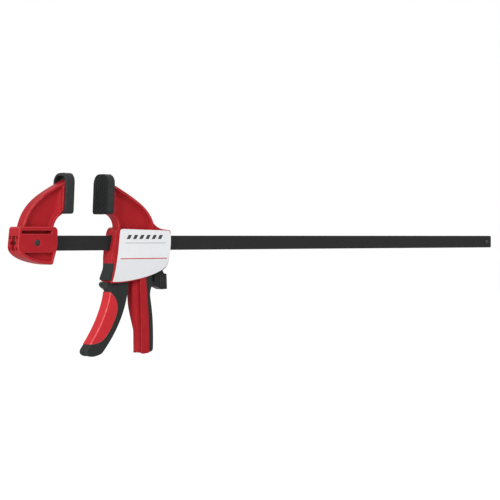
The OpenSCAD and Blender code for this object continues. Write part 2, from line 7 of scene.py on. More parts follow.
# %% Load the frame
import json
import math

import bmesh
import bpy
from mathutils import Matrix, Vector
from mathutils.geometry import tessellate_polygon


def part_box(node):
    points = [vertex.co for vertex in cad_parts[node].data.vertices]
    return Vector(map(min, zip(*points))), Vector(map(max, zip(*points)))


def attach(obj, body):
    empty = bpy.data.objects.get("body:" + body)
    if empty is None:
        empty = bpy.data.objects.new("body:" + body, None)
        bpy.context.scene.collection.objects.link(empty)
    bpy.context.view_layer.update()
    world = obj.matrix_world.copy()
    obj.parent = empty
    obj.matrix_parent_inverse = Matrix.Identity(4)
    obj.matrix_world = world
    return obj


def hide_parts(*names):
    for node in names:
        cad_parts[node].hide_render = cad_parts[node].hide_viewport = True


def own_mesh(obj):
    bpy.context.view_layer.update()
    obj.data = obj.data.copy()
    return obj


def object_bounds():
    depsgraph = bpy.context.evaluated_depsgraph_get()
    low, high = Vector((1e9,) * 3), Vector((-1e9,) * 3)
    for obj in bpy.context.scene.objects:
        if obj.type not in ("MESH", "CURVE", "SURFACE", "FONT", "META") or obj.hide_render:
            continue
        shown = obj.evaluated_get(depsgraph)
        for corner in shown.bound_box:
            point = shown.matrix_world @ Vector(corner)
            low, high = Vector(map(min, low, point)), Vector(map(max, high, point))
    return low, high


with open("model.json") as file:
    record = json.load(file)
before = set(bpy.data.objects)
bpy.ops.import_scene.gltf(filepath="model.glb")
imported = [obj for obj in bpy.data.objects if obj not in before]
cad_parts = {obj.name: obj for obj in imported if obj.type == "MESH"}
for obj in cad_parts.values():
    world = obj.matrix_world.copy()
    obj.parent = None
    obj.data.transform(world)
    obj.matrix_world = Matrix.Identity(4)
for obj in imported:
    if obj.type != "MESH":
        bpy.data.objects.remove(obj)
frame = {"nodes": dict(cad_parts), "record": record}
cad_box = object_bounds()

MM = 0.001
BAR_Z = sum(corner.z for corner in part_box("bar")) / 2 / MM
JAW_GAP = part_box("sliding_jaw_pad")[0].x / MM
FIXED = (0, BAR_Z)
SLIDE = (JAW_GAP, BAR_Z)
print(f"bar's centre line at {BAR_Z:.1f} mm, jaws {JAW_GAP:.1f} mm apart")

# %% [markdown]
# ## Drawing outlines
# Most pieces of this clamp are mouldings that were drawn from the side and then given a width.
# A side view is a list of points in millimetres, made of curves and arcs that run counter-clockwise,
# with heights counted from the bar's centre line. Blender's own curve objects could do this too, but
# plain points are easier to move inwards, and a rounded edge is nothing more than the same outline,
# moved inwards a little more at each step.


# %% Curves, arcs and closed outlines
def curve_point(points, t):
    s = 1 - t
    w = (s * s * s, 3 * s * s * t, 3 * s * t * t, t * t * t)
    return tuple(sum(w[k] * points[k][axis] for k in range(4)) for axis in (0, 1))


def curve(a, b, c, d, n=24):
    """Cubic curve from a to d, without its last point, so that curves join end to end."""
    return [curve_point((a, b, c, d), i / n) for i in range(n)]


def arc(centre, r, start, end, n=10):
    turns = [math.radians(start + (end - start) * i / n) for i in range(n + 1)]
    return [(centre[0] + r * math.cos(t), centre[1] + r * math.sin(t)) for t in turns]


def circle(centre, r, n=40):
    return arc(centre, r, 0, 360 - 360 / n, n - 1)


SAME_POINT = 0.01


def joined(*parts):
    """One closed outline from several runs of points, without repeated points."""
    points = [Vector(p) for part in parts for p in part]
    return [tuple(p) for i, p in enumerate(points) if (p - points[i - 1]).length > SAME_POINT]


# %% [markdown]
# Moving an outline inwards is the one operation that everything else needs. Each point moves along
# the mean of its two edges' normals. At a narrow corner, neighbouring points would pass each other,
# so any edge that has turned round is shrunk to its middle.


# %% Insets and softened corners
LEAST_SPREAD, UNFOLD_PASSES, TURNED_ROUND = 0.3, 12, -1e-9
LEAST_BEND, MOST_CUT = 0.35, 0.45


def inset(outline, d):
    """Moves a counter-clockwise outline inwards by d."""
    moved = []
    for i, (x, z) in enumerate(outline):
        before, after = outline[i - 1], outline[(i + 1) % len(outline)]
        a = Vector((x - before[0], z - before[1])).normalized()
        b = Vector((after[0] - x, after[1] - z)).normalized()
        share = d / max(LEAST_SPREAD, 1 + a.dot(b))
        moved.append(Vector((x - (a.y + b.y) * share, z + (a.x + b.x) * share)))
    for _ in range(UNFOLD_PASSES):
        folded = 0
        for i in range(-1, len(outline) - 1):
            edge = Vector(outline[i + 1]) - Vector(outline[i])
            if (moved[i + 1] - moved[i]).dot(edge) < TURNED_ROUND:
                moved[i] = (moved[i] + moved[i + 1]) / 2
                moved[i + 1] = moved[i].copy()
                folded += 1
        if not folded:
            break
    return [tuple(p) for p in moved]


def soften(outline, r, n=6):
    """Rounds the sharp corners of an outline."""
    points = []
    for i, here in enumerate(outline):
        p = Vector(here)
        a, b = Vector(outline[i - 1]) - p, Vector(outline[(i + 1) % len(outline)]) - p
        turn = math.pi - a.angle(b)
        if turn < LEAST_BEND:
            points.append(here)
            continue
        cut = min(r * math.tan(turn / 2), MOST_CUT * a.length, MOST_CUT * b.length)
        start, end = p + a.normalized() * cut, p + b.normalized() * cut
        steps = [k / n for k in range(n + 1)]
        points += [tuple(start.lerp(p, t).lerp(p.lerp(end, t), t)) for t in steps]
    return points


# %% [markdown]
# ## From outline to closed shell
# A shell is a stack of rings. Each ring is the outline at one depth, moved inwards by a little, and
# neighbouring rings are joined by quads. The two ends are closed by a cap of triangles. One face with
# many corners would be less work, but Blender may split it badly where the outline turns inwards. A
# cap can hold pockets: each is a hole that goes down on rings of its own, so its rim is truly rounded
# and catches the light.


# %% Rings, caps and pockets
def add_rings(bm, rings):
    rows = [[bm.verts.new(Vector(point) * MM) for point in ring] for ring in rings]
    for low, high in zip(rows, rows[1:]):
        for i in range(len(low)):
            j = (i + 1) % len(low)
            bm.faces.new((low[i], low[j], high[j], high[i]))
    return rows


def add_cap(bm, row, holes=()):
    loops = [row, *holes]
    corners = [v for loop in loops for v in loop]
    for triangle in tessellate_polygon([[v.co / MM for v in loop] for loop in loops]):
        if len(set(triangle)) == 3:
            bm.faces.new([corners[i] for i in triangle])


def add_loft(bm, rings):
    rows = add_rings(bm, rings)
    add_cap(bm, rows[0])
    add_cap(bm, rows[-1])


def ring_at(outline, y, place):
    return [(x + place[0], y, z + place[1]) for x, z in outline]


def stack(outline, steps, place):
    """Rings of one outline, each at a depth and moved inwards."""
    return [ring_at(inset(outline, d), y, place) for y, d in steps]


RIM_STEPS = ((0, 1), (0.3, 0.4), (1, 0))
MOST_FOOT, FOOT_IN = 0.8, 0.2


def add_pocket(bm, outline, y, depth, place, rim=0.5, draft=0.3):
    """A pocket that goes down along Y from a cap at y. Returns its rim for the cap."""
    floor = y + depth
    way = math.copysign(1, depth)
    foot = min(MOST_FOOT, abs(depth) / 3)
    steps = [(y + way * rim * down, -rim * out) for down, out in RIM_STEPS]
    steps += [(floor - way * foot, draft), (floor - way * foot / 4, draft + FOOT_IN), (floor, draft + foot)]
    rows = add_rings(bm, stack(outline, steps, place))
    add_cap(bm, rows[-1])
    return rows[0]


# %% Slabs with rounded edges
def near_round(y, r, n=5):
    """Depths and insets of a rounded edge that starts at a depth y."""
    turns = [math.pi / 2 * i / n for i in range(n + 1)]
    return [(y + r * (1 - math.cos(t)), r * (1 - math.sin(t))) for t in turns]


def far_round(y, r, n=5):
    """Depths and insets of a rounded edge that ends at a depth y."""
    return [(y - d, deep) for deep, d in near_round(0, r, n)]


def add_slab(bm, outline, place, y_low, y_high, r_low, r_high, near=(), far=()):
    """A slab with rounded edges; near and far list the pockets in its faces, as outline and depth."""
    rows = add_rings(bm, stack(outline, near_round(y_low, r_low) + far_round(y_high, r_high), place))
    add_cap(bm, rows[0], [add_pocket(bm, o, y_low, depth, place) for o, depth in near])
    add_cap(bm, rows[-1], [add_pocket(bm, o, y_high, -depth, place) for o, depth in far])


# %% [markdown]
# ## From shell to piece
# A finished piece has its faces pointing outwards, smooth shading with sharp edges kept sharp, and
# normals weighted by area, so that large flat faces stay flat up to their rounded rims. It also gets
# an attribute that says how strongly each point stands on a convex edge. The finishes read it later
# to paint edges a little paler: a painted highlight, with a little wear.

# %% Marks on edges
LEAST_TURN, MOST_TURN = 0.2, 1.2


def mark_edges(mesh):
    """Marks the corners of faces that lie on a rounded or broken edge, bent on two sides at least."""
    bm = bmesh.new()
    bm.from_mesh(mesh)
    turns = [edge.calc_face_angle_signed(0.0) if edge.is_manifold else 0.0 for edge in bm.edges]
    turns = [turn if LEAST_TURN < turn < MOST_TURN else 0.0 for turn in turns]
    marks = []
    for face in bm.faces:
        bent = sum(turns[edge.index] > 0 for edge in face.edges) >= 2
        for v in (corner.vert for corner in face.loops):
            marks.append(min(1.0, sum(turns[edge.index] for edge in v.link_edges)) if bent else 0.0)
    bm.free()
    mesh.attributes.new("edge", "FLOAT", "CORNER").data.foreach_set("value", marks)


# %% Make a piece
PIECES = []
SHARP, WELD = math.radians(38), 1e-7


def plain_mesh(bm, name):
    mesh = bpy.data.meshes.new(name)
    bm.to_mesh(mesh)
    bm.free()
    return mesh


def mesh_from(bm, name):
    """Welds a bmesh, turns its faces outwards and gives it over as a mesh."""
    bmesh.ops.remove_doubles(bm, verts=bm.verts, dist=WELD)
    bmesh.ops.recalc_face_normals(bm, faces=bm.faces)
    return plain_mesh(bm, name)


def show(name, data):
    """Puts a mesh, a lamp or a camera into the scene."""
    made = bpy.data.objects.new(name, data)
    bpy.context.scene.collection.objects.link(made)
    return made


def dress(name, mesh, finish, body, slot, *nodes):
    """Makes a piece of a mesh: it rides on a body and stands for the named nodes."""
    mark_edges(mesh)
    mesh.shade_smooth()
    mesh.set_sharp_from_angle(angle=SHARP)
    mesh.materials.clear()
    mesh.materials.append(finish)
    made = show(name, mesh)
    weighted = made.modifiers.new("flat faces stay flat", "WEIGHTED_NORMAL")
    weighted.keep_sharp = True
    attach(made, body)
    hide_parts(*nodes)
    PIECES.append(made)
    print(f"{name}: {len(mesh.polygons)} faces on {body}")
    return made


def piece(name, bm, finish, body, slot, *nodes):
    return dress(name, mesh_from(bm, name), finish, body, slot, *nodes)


# %% [markdown]
# ## Shared effects for the finishes
# Moulded plastic and rubber show a fine grain from the tool and faint clouds of tone. Their convex
# edges are painted paler: a painted highlight, with a little wear. Each effect is a node group that is
# built once and placed in every material with its own values. The groups give only masks and heights;
# each material keeps its own shader. Two small functions add any node, and link or set its inputs.


# %% Nodes
def fill(tree, node, inputs):
    """Fills a node's inputs: one that is given a socket is linked, and any other is set."""
    for key, value in dict(inputs).items():
        if isinstance(value, bpy.types.NodeSocket):
            tree.links.new(value, node.inputs[key])
        else:
            node.inputs[key].default_value = value


def add_node(tree, kind, inputs=(), **settings):
    node = tree.nodes.new(kind)
    for name, value in settings.items():
        setattr(node, name, value)
    fill(tree, node, inputs)
    return node


def calc(tree, operation, *values):
    """One step of arithmetic on sockets or numbers."""
    return add_node(tree, "ShaderNodeMath", dict(enumerate(values)), operation=operation).outputs[0]


def noise(tree, place, scale, detail, roughness):
    inputs = {"Vector": place, "Scale": scale, "Detail": detail, "Roughness": roughness}
    return add_node(tree, "ShaderNodeTexNoise", inputs).outputs["Fac"]


def spread(tree, value, low, high, to_low=0.0, to_high=1.0):
    inputs = {"Value": value, "From Min": low, "From Max": high, "To Min": to_low, "To Max": to_high}
    return add_node(tree, "ShaderNodeMapRange", inputs).outputs["Result"]


# %% Groups with named inputs
def new_group(name, kind, inputs, outputs):
    """A node tree with named inputs. Returns it, its input and output nodes, and the inputs' keys."""
    group = bpy.data.node_groups.new(name, kind)
    keys = {}
    for label, socket_kind, value in inputs:
        socket = group.interface.new_socket(label, in_out="INPUT", socket_type="NodeSocket" + socket_kind)
        if value is not None:
            socket.default_value = value
        keys[label] = socket.identifier
    for label, socket_kind in outputs:
        group.interface.new_socket(label, in_out="OUTPUT", socket_type="NodeSocket" + socket_kind)
    given = group.nodes.new("NodeGroupInput").outputs
    result = group.nodes.new("NodeGroupOutput").inputs
    return group, given, result, keys


# %% Grain, and a painted edge highlight with a little wear
grain_group, given, result, _ = new_group(
    "Tool grain", "ShaderNodeTree",
    [("Place", "Vector", None), ("Grain per metre", "Float", 1800.0), ("Cloud per metre", "Float", 35.0)],
    [("Height", "Float"), ("Cloud", "Float")])
fine = noise(grain_group, given["Place"], given["Grain per metre"], detail=2.0, roughness=0.6)
cloud = noise(grain_group, given["Place"], given["Cloud per metre"], detail=4.0, roughness=0.6)
grain_group.links.new(fine, result["Height"])
grain_group.links.new(spread(grain_group, cloud, low=0.3, high=0.7), result["Cloud"])

# Painted highlight on convex edges: a paler colour in patches, with a little wear in it.
LEAST_SHEEN_AND_WEAR = 0.35
edge_sheen_and_wear_group, given, result, _ = new_group(
    "Edge wear", "ShaderNodeTree",
    [("Place", "Vector", None), ("Edge", "Float", 0.0), ("Amount", "Float", 0.5)], [("Mask", "Float")])
patches = noise(edge_sheen_and_wear_group, given["Place"], scale=160.0, detail=5.0, roughness=0.7)
patches = spread(edge_sheen_and_wear_group, patches, low=0.35, high=0.7)
edge_sheen_and_wear = calc(edge_sheen_and_wear_group, "MULTIPLY", given["Edge"], given["Amount"])
edge_sheen_and_wear = calc(edge_sheen_and_wear_group, "MULTIPLY", edge_sheen_and_wear, calc(edge_sheen_and_wear_group, "ADD", patches, LEAST_SHEEN_AND_WEAR))
edge_sheen_and_wear_group.links.new(calc(edge_sheen_and_wear_group, "MINIMUM", edge_sheen_and_wear, 1.0), result["Mask"])
print("node groups:", grain_group.name, "and", edge_sheen_and_wear_group.name)

# %% [markdown]
# ## The finishes
# The jaws are glass-filled nylon in red, with a soft sheen. The trigger's inlay is a softer red
# rubber. The pads, the strip down the handle and the guard are black rubber. The bar is blackened
# steel. All of them are made by one function, because they differ only in colour, roughness and
# grain. Every pattern is placed by Object coordinates, so that it stays on the piece when the piece
# moves.


# %% Colours and materials
def srgb(r, g, b):
    def linear(c):
        c /= 255
        return c / 12.92 if c <= 0.04045 else ((c + 0.055) / 1.055) ** 2.4
    return (linear(r), linear(g), linear(b), 1.0)


def mix_colour(tree, factor, a, b):
    inputs = {"Factor": factor, "A": a, "B": b}
    return add_node(tree, "ShaderNodeMix", inputs, data_type="RGBA").outputs["Result"]


def node_of(tree, kind):
    return next(node for node in tree.nodes if node.type == kind)


def start_material(name, colour):
    material = bpy.data.materials.new(name)
    material.use_nodes = True
    material.diffuse_color = colour
    return material, material.node_tree, node_of(material.node_tree, "BSDF_PRINCIPLED")


# %% One function for moulded and metal finishes
BUMP_STRENGTH = 0.6


def finish(name, colour, deep, edge_sheen_and_wear, rough, grain, sheen_and_wear, specular, cloud=35.0, depth=0.00004,
           metal=0.0, print_on=None):
    """A moulded or metal finish: two tones in faint clouds, edges painted paler as a highlight with a
    little wear, and a fine grain.
    """
    colour, deep, edge_sheen_and_wear = srgb(*colour), srgb(*deep), srgb(*edge_sheen_and_wear)
    material, tree, shader = start_material(name, colour)
    place = tree.nodes.new("ShaderNodeTexCoord").outputs["Object"]
    edge = add_node(tree, "ShaderNodeAttribute", attribute_name="edge").outputs["Fac"]
    grained, sheen_and_wear_node = (tree.nodes.new("ShaderNodeGroup") for _ in range(2))
    grained.node_tree, sheen_and_wear_node.node_tree = grain_group, edge_sheen_and_wear_group
    fill(tree, grained, {"Place": place, "Grain per metre": grain, "Cloud per metre": cloud})
    fill(tree, sheen_and_wear_node, {"Place": place, "Edge": edge, "Amount": sheen_and_wear})
    tone = mix_colour(tree, grained.outputs["Cloud"], deep, colour)
    if print_on:
        tone = print_on(tree, place, tone)
    bump = add_node(tree, "ShaderNodeBump", {
        "Distance": depth, "Strength": BUMP_STRENGTH, "Height": grained.outputs["Height"]})
    # The base colour is painted paler on convex edges: a painted highlight, with a little wear.
    fill(tree, shader, {
        "Base Color": mix_colour(tree, sheen_and_wear_node.outputs["Mask"], tone, edge_sheen_and_wear),
        "Roughness": spread(tree, grained.outputs["Cloud"], 0, 1, *rough),
        "Normal": bump.outputs["Normal"], "Metallic": metal, "Specular IOR Level": specular})
    return material


# %% The palette
# The third colour of each finish paints its edges: a painted highlight, with a little wear.
RED = finish("red nylon", (170, 36, 42), (160, 31, 38), (226, 100, 102),
             rough=(0.45, 0.55), grain=1500.0, depth=0.00002, sheen_and_wear=0.5, specular=0.06)
# The inlay's very pale edge colour paints the highlight line along its ridge between front and side.
SOFT_RED = finish("soft red rubber", (202, 48, 54), (194, 43, 49), (250, 140, 140),
                  rough=(0.46, 0.56), grain=2200.0, depth=0.00002, sheen_and_wear=0.9, specular=0.1)
RUBBER = finish("black rubber", (41, 44, 42), (35, 38, 37), (70, 73, 71),
                rough=(0.6, 0.72), grain=1300.0, depth=0.00005, sheen_and_wear=0.5, specular=0.16)
BLACK = finish("black nylon", (24, 25, 25), (19, 20, 20), (72, 74, 73),
               rough=(0.42, 0.54), grain=1500.0, sheen_and_wear=0.5, specular=0.2)
BAR_STEEL = finish("blackened bar", (39, 39, 40), (34, 34, 35), (78, 78, 80),
                   rough=(0.45, 0.58), grain=900.0, cloud=22.0, sheen_and_wear=0.6, specular=0.12)
PIN_STEEL = finish("dark pin", (58, 60, 61), (46, 48, 49), (108, 109, 110),
                   rough=(0.35, 0.5), metal=0.5, grain=2600.0, sheen_and_wear=0.6, specular=0.3)
BRIGHT_STEEL = finish("zinc plated steel", (168, 170, 172), (146, 148, 152), (205, 206, 208),
                      rough=(0.28, 0.4), metal=0.95, grain=2600.0, sheen_and_wear=0.4, specular=0.5)
PLATE_STEEL = finish("hardened plate", (92, 92, 94), (74, 74, 77), (150, 150, 152),
                     rough=(0.35, 0.48), metal=0.85, grain=2000.0, sheen_and_wear=0.5, specular=0.5)
print("finishes:", len(bpy.data.materials))

# %% [markdown]
# ## The bar
# The bar is a strip of flat steel with slightly broken edges and rounded end corners. It is one slab
# of an outline that the frame gives: the box of the bar's own node.


# %% Bar
def rounded_box(left, right, low, high, r_top, r_low, n=10):
    """A rectangle with rounded corners, drawn from its upper right one."""
    corners = ((right, high, r_top, -1, -1), (left, high, r_top, 1, -1),
               (left, low, r_low, 1, 1), (right, low, r_low, -1, 1))
    return joined(*[arc((x + i * r, z + j * r), r, 90 * k, 90 * k + 90, n)
                    for k, (x, z, r, i, j) in enumerate(corners)])


bar_low, bar_high = (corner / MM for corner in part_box("bar"))
bar_r, bar_edge = 2.5, 0.6
bar_outline = rounded_box(bar_low.x, bar_high.x, bar_low.z, bar_high.z, bar_r, bar_r, n=6)
shell = bmesh.new()
add_slab(shell, bar_outline, (0, 0), bar_low.y, bar_high.y, bar_edge, bar_edge)
piece("flat_bar", shell, BAR_STEEL, "frame", "bar_steel", "bar")

# %% [markdown]
# ## Arms as I-beams
# Each jaw's arm is a thin web between two rims, with a wide fillet where they meet. It is lofted:
# many I-shaped sections are set across the arm like the sticks of a fan, from its outer edge to its
# throat, and joined. A Solidify modifier could make the rims, but not their fillets, and not the
# flare where the arm widens into a flange behind the pad.

# %% One section
RIM_HALF, RIM_T, WEB_HALF, WEB_STEPS = 8.5, 3.8, 3.0, 16
RIM_OUT_R, RIM_IN_R = 1.3, 0.9


def held(share):
    """A share that is kept between 0 and 1."""
    return min(1.0, max(0.0, share))


def rim_profile(half, reach):
    """Near half of one rim, from its outer face to the web: distance from the edge, and depth."""
    height = half - RIM_IN_R - WEB_HALF
    outer = [(s, y) for y, s in near_round(-half, RIM_OUT_R, n=4)]
    inner = [(RIM_T - s, y) for y, s in near_round(-half, RIM_IN_R, n=4)]
    fillet = [(RIM_T + reach * a, -WEB_HALF - height * b) for a, b in near_round(0, 1, n=8)]
    return outer[::-1] + inner + fillet[1:]


def beam_ring(outer, inner, half, fillets, place, web_at):
    """One I-shaped section; its web is as thick at each point as web_at says."""
    a, b = Vector(outer), Vector(inner)
    length, way = (b - a).length, (b - a).normalized()
    rim, throat = rim_profile(half, fillets[0]), rim_profile(RIM_HALF, fillets[1])
    start, end = rim[-1][0], length - throat[-1][0]
    web = [(start + (end - start) * k / WEB_STEPS, -WEB_HALF) for k in range(1, WEB_STEPS)]
    near = []
    for s, y in rim + web + [(length - s, y) for s, y in reversed(throat)]:
        x, z = a + way * s
        if RIM_T <= s <= length - RIM_T:
            y = min(y, -web_at(x, z))
        near.append((x + place[0], y, z + place[1]))
    return near + [(x, -y, z) for x, y, z in reversed(near)]


# %% A loft of many sections
def add_arm(bm, outer, inner, place, foot, into_pad, fillets, flare, web_at, n=64):
    """An arm between two cubic curves that run from its foot, which goes on down by a length, to its
    pad, where its back widens."""
    wider, last_share = flare
    rings = []
    for k in range(-1, n + 2):
        t = held(k / n)
        extra = (0, -foot) if k < 0 else (into_pad, 0) if k > n else (0, 0)
        ends = [tuple(Vector(curve_point(line, t)) + Vector(extra)) for line in (outer, inner)]
        half = RIM_HALF + wider * max(0.0, 1 - (1 - t) / last_share) ** 2
        rings.append(beam_ring(*ends, half, fillets, place, web_at))
    add_loft(bm, rings)


# %% [markdown]
# ## The pads' lean
# Both pads lean a little, with their tops to the right, so that the jaws' faces come parallel when
# the bar bends under load. Everything that touches a pad uses this one function.

# %% Lean and flange
PAD_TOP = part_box("fixed_jaw_pad")[1].z / MM
LEAN = 0.045
FIXED_BACK, SLIDING_BACK = -14.3, 15.4


def lean(z):
    """How far a pad is moved along the bar at a height z of the frame."""
    return (z - PAD_TOP) * LEAN


def ring_across(outline, x, height):
    """A ring that stands across the bar, leaning with the pads."""
    return [(x + lean(z + height), y, z + height) for y, z in outline]


FLANGE_HALF, FLANGE_R = 13.2, 2
FLANGE_STEPS = ((-5, 0), (1.0, 0), (1.3, 0.15), (1.5, 0.7))


def add_flange(bm, back, way, low, high):
    """A plate that fills the hollow behind a pad, below the arm's rim; the pad's back is at back."""
    outline = rounded_box(-FLANGE_HALF, FLANGE_HALF, low, high, FLANGE_R, FLANGE_R)
    add_loft(bm, [ring_across(inset(outline, d), back + way * x, BAR_Z) for x, d in FLANGE_STEPS])


FILLET_POWER = 2.6


def thickened(back, way, flat, reach, height):
    """A rule for an arm's web: thick beside the flange for a length, then down in a wide fillet."""
    def web_at(x, z):
        away = way * (x - back - lean(z + BAR_Z)) - FLANGE_STEPS[-1][0] - flat
        return WEB_HALF + height * held(1 - away / reach) ** FILLET_POWER
    return web_at


# %% [markdown]
# ## The fixed jaw's block
# The block holds the bar's end, and its own end face leans. The sides carry a long groove and a
# hollow, which keep the moulding's walls even, and a cross pin goes through a shallow seat. All three
# are pockets of the slab's two caps.

# %% Block
BLOCK_HALF, BLOCK_END, NEAR_EDGE, FAR_EDGE = 14.0, -89.0, 1.5, 0.7
GROOVE_DEEP, HOLLOW_DEEP, PIN_SEAT_R, PIN_SEAT_DEEP = 9.5, 5.5, 5.1, 1.8
pin_low, pin_high = (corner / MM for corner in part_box("fixed_jaw_pin"))
PIN_AT = ((pin_low.x + pin_high.x) / 2, (pin_low.z + pin_high.z) / 2 - BAR_Z)
block_side = joined(
    curve((-89, -5), (-88.5, -17.5), (-68, -26.5), (-38, -29.5), 30),
    curve((-38, -29.5), (-34, -29.5), (-33, -28.5), (-32.5, -24.5), 8),
    curve((-32.5, -24.5), (-30.5, -17.5), (-26.5, -7.5), (-26, 2.5), 14),
    arc((-32, 16.5), 6, 0, 90), arc((-82.5, 18.5), 4, 90, 172, 6))
groove = soften([(-83, 12.7), (-35.6, 12.7), (-35.6, 17.4), (-83, 17.4)], r=0.8)
hollow = soften([(-81.3, -12.6), (-67.6, -19.7), (-52, -24.3), (-38.3, -26.2), (-35.6, -24.5),
                 (-32.8, -12.6)], r=1.0)
side_cuts = [(groove, GROOVE_DEEP), (hollow, HOLLOW_DEEP), (circle(PIN_AT, PIN_SEAT_R), PIN_SEAT_DEEP)]
block_shell = bmesh.new()
add_slab(block_shell, block_side, FIXED, -BLOCK_HALF, BLOCK_HALF, NEAR_EDGE, FAR_EDGE,
         near=side_cuts, far=side_cuts)
print(f"pin seat at {PIN_AT[0]:.1f}, {PIN_AT[1]:.1f}")

# %% [markdown]
# The block's end has an upright slot round the bar's own end, a deeper cell across it, and four
# small cells that the moulder cored out. Stacked rings can't reach there, so a Boolean modifier cuts
# them with one cutter that holds all the boxes.


# %% Cut boxes from a shell
def box_mesh(boxes):
    bm = bmesh.new()
    for low, high in boxes:
        for v in bmesh.ops.create_cube(bm, size=1)["verts"]:
            v.co = Vector([(lo if c < 0 else hi) * MM for c, lo, hi in zip(v.co, low, high)])
    return plain_mesh(bm, "cutter")


def modified(mesh, *modifiers):
    """The plain mesh that modifiers, each given as its kind and settings, make of a mesh."""
    blank = show("blank", mesh)
    for kind, settings in modifiers:
        modifier = blank.modifiers.new(kind, kind)
        for name, value in settings.items():
            if hasattr(modifier, name):
                setattr(modifier, name, value)
            else:
                modifier[name] = value
    bpy.context.view_layer.update()
    graph = bpy.context.evaluated_depsgraph_get()
    made = bpy.data.meshes.new_from_object(blank.evaluated_get(graph), depsgraph=graph)
    bpy.data.objects.remove(blank)
    return made


def cut(bm, boxes):
    """Cuts boxes out of a closed shell, and returns the shell that is left."""
    cutter = show("cutter", box_mesh(boxes))
    left = modified(mesh_from(bm, "blank"), ("BOOLEAN", {
        "operation": "DIFFERENCE", "solver": "EXACT", "object": cutter, "use_self": True}))
    bpy.data.objects.remove(cutter)
    bm = bmesh.new()
    bm.from_mesh(left)
    print("edges left open by the cut:", sum(not edge.is_manifold for edge in bm.edges))
    return bm


# %% Slot, cells and arm of the fixed jaw
SLOT_HALF, SLOT_TALL, CROSS_HALF, CROSS_TALL = 3.8, 10.0, 8.0, 2.1
CELL_Y, CELL_Z, CELL_HALF = 9.0, 7.6, 2.0
CUT_START, CELL_DEEP, SLOT_DEEP = -6, 16.0, 14.0


def end_cell(y, z, half_y, half_z, deep):
    """A box that is cut into the block's end, round a place in its end face."""
    return ((BLOCK_END + CUT_START, y - half_y, z - half_z + BAR_Z),
            (BLOCK_END + deep, y + half_y, z + half_z + BAR_Z))


cells = [end_cell(0, 0, SLOT_HALF, SLOT_TALL, SLOT_DEEP), end_cell(0, 0, CROSS_HALF, CROSS_TALL, CELL_DEEP)]
cells += [end_cell(y, z, CELL_HALF, CELL_HALF, CELL_DEEP)
          for y in (-CELL_Y, CELL_Y) for z in (-CELL_Z, CELL_Z)]
block_shell = cut(block_shell, cells)
fixed_outer = ((-79, 18.5), (-71.8, 50), (-54.5, 65.8), (-5, 87.8))
fixed_throat = ((-30, 18.5), (-28, 32), (-20.5, 39.5), (-5, 44))
add_arm(block_shell, fixed_outer, fixed_throat, FIXED, foot=0.3, into_pad=0.5, fillets=(4.6, 4.0),
        flare=(3.0, 0.3), web_at=thickened(FIXED_BACK, -1, flat=-2, reach=11, height=8))
add_flange(block_shell, FIXED_BACK, -1, low=44, high=78)
piece("fixed_jaw_shell", block_shell, RED, "frame", "red_plastic", "fixed_jaw")

# %% [markdown]
# ## Pins
# The cross pin is a dark steel rod with domed ends, set just below the block's side. The stop pin
# near the bar's free end has broken edges. Both are turned parts, so their rings are circles.


# %% Turned pins
DOME_STEPS = ((0, 0.02), (0.15, 0.5), (0.45, 0.8), (1, 0.97))
DOME_BREAK, PIN_SUNK = 0.2, 1.0


def add_pin(bm, at, r, half, dome, place):
    """A pin with two domed ends; each step of a dome is a share of its depth and of the radius."""
    steps = [(-half + dome * deep, r * size) for deep, size in DOME_STEPS]
    steps.append((-half + dome + DOME_BREAK, r))
    steps += [(-y, k) for y, k in reversed(steps)]
    add_loft(bm, [ring_at(circle(at, k, n=36), y, place) for y, k in steps])


shell = bmesh.new()
add_pin(shell, PIN_AT, (pin_high.x - pin_low.x) / 2, BLOCK_HALF - PIN_SUNK, dome=0.6, place=FIXED)
piece("cross_pin", shell, PIN_STEEL, "frame", "dark_pin", "fixed_jaw_pin")
stop_low, stop_high = (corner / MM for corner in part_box("bar_stop_pin"))
stop_at = ((stop_low.x + stop_high.x) / 2, (stop_low.z + stop_high.z) / 2)
shell = bmesh.new()
add_pin(shell, stop_at, (stop_high.x - stop_low.x) / 2, stop_high.y, dome=0.8, place=(0, 0))
piece("stop_pin", shell, PIN_STEEL, "frame", "pin_steel", "bar_stop_pin")

# %% [markdown]
# ## The jaw pads
# The pads are soft black rubber caps whose working face is studded with oval bumps in staggered
# columns. The plain cap is a stack of rings along the bar. Geometry Nodes set the bumps: a grid of
# points is moved to the face, every other column by half a step, points past the rounded corners are
# dropped, and each point gets an oval. A voxel remesh and a little smoothing then melt bumps and cap
# into one skin with the soft edges of moulded rubber.


# %% How every tree of nodes ends and runs
def end_tree(tree, made, given, result, base=None):
    """Ends a tree: what it made joins a base, if there is one, as plain meshes with a finish."""
    if base is not None:
        both = add_node(tree, "GeometryNodeJoinGeometry", {0: made})
        tree.links.new(base, both.inputs[0])
        made = both.outputs[0]
    real = add_node(tree, "GeometryNodeRealizeInstances", {0: made}).outputs[0]
    coat = add_node(tree, "GeometryNodeSetMaterial", {"Geometry": real, "Material": given["Finish"]})
    tree.links.new(coat.outputs[0], result[0])
    print(f"{tree.name}: {len(tree.nodes)} nodes")


def run_nodes(mesh, tree, values):
    """Runs a node tree on a mesh and returns the plain mesh that comes out."""
    return modified(mesh, ("NODES", {"node_group": tree, **values}))


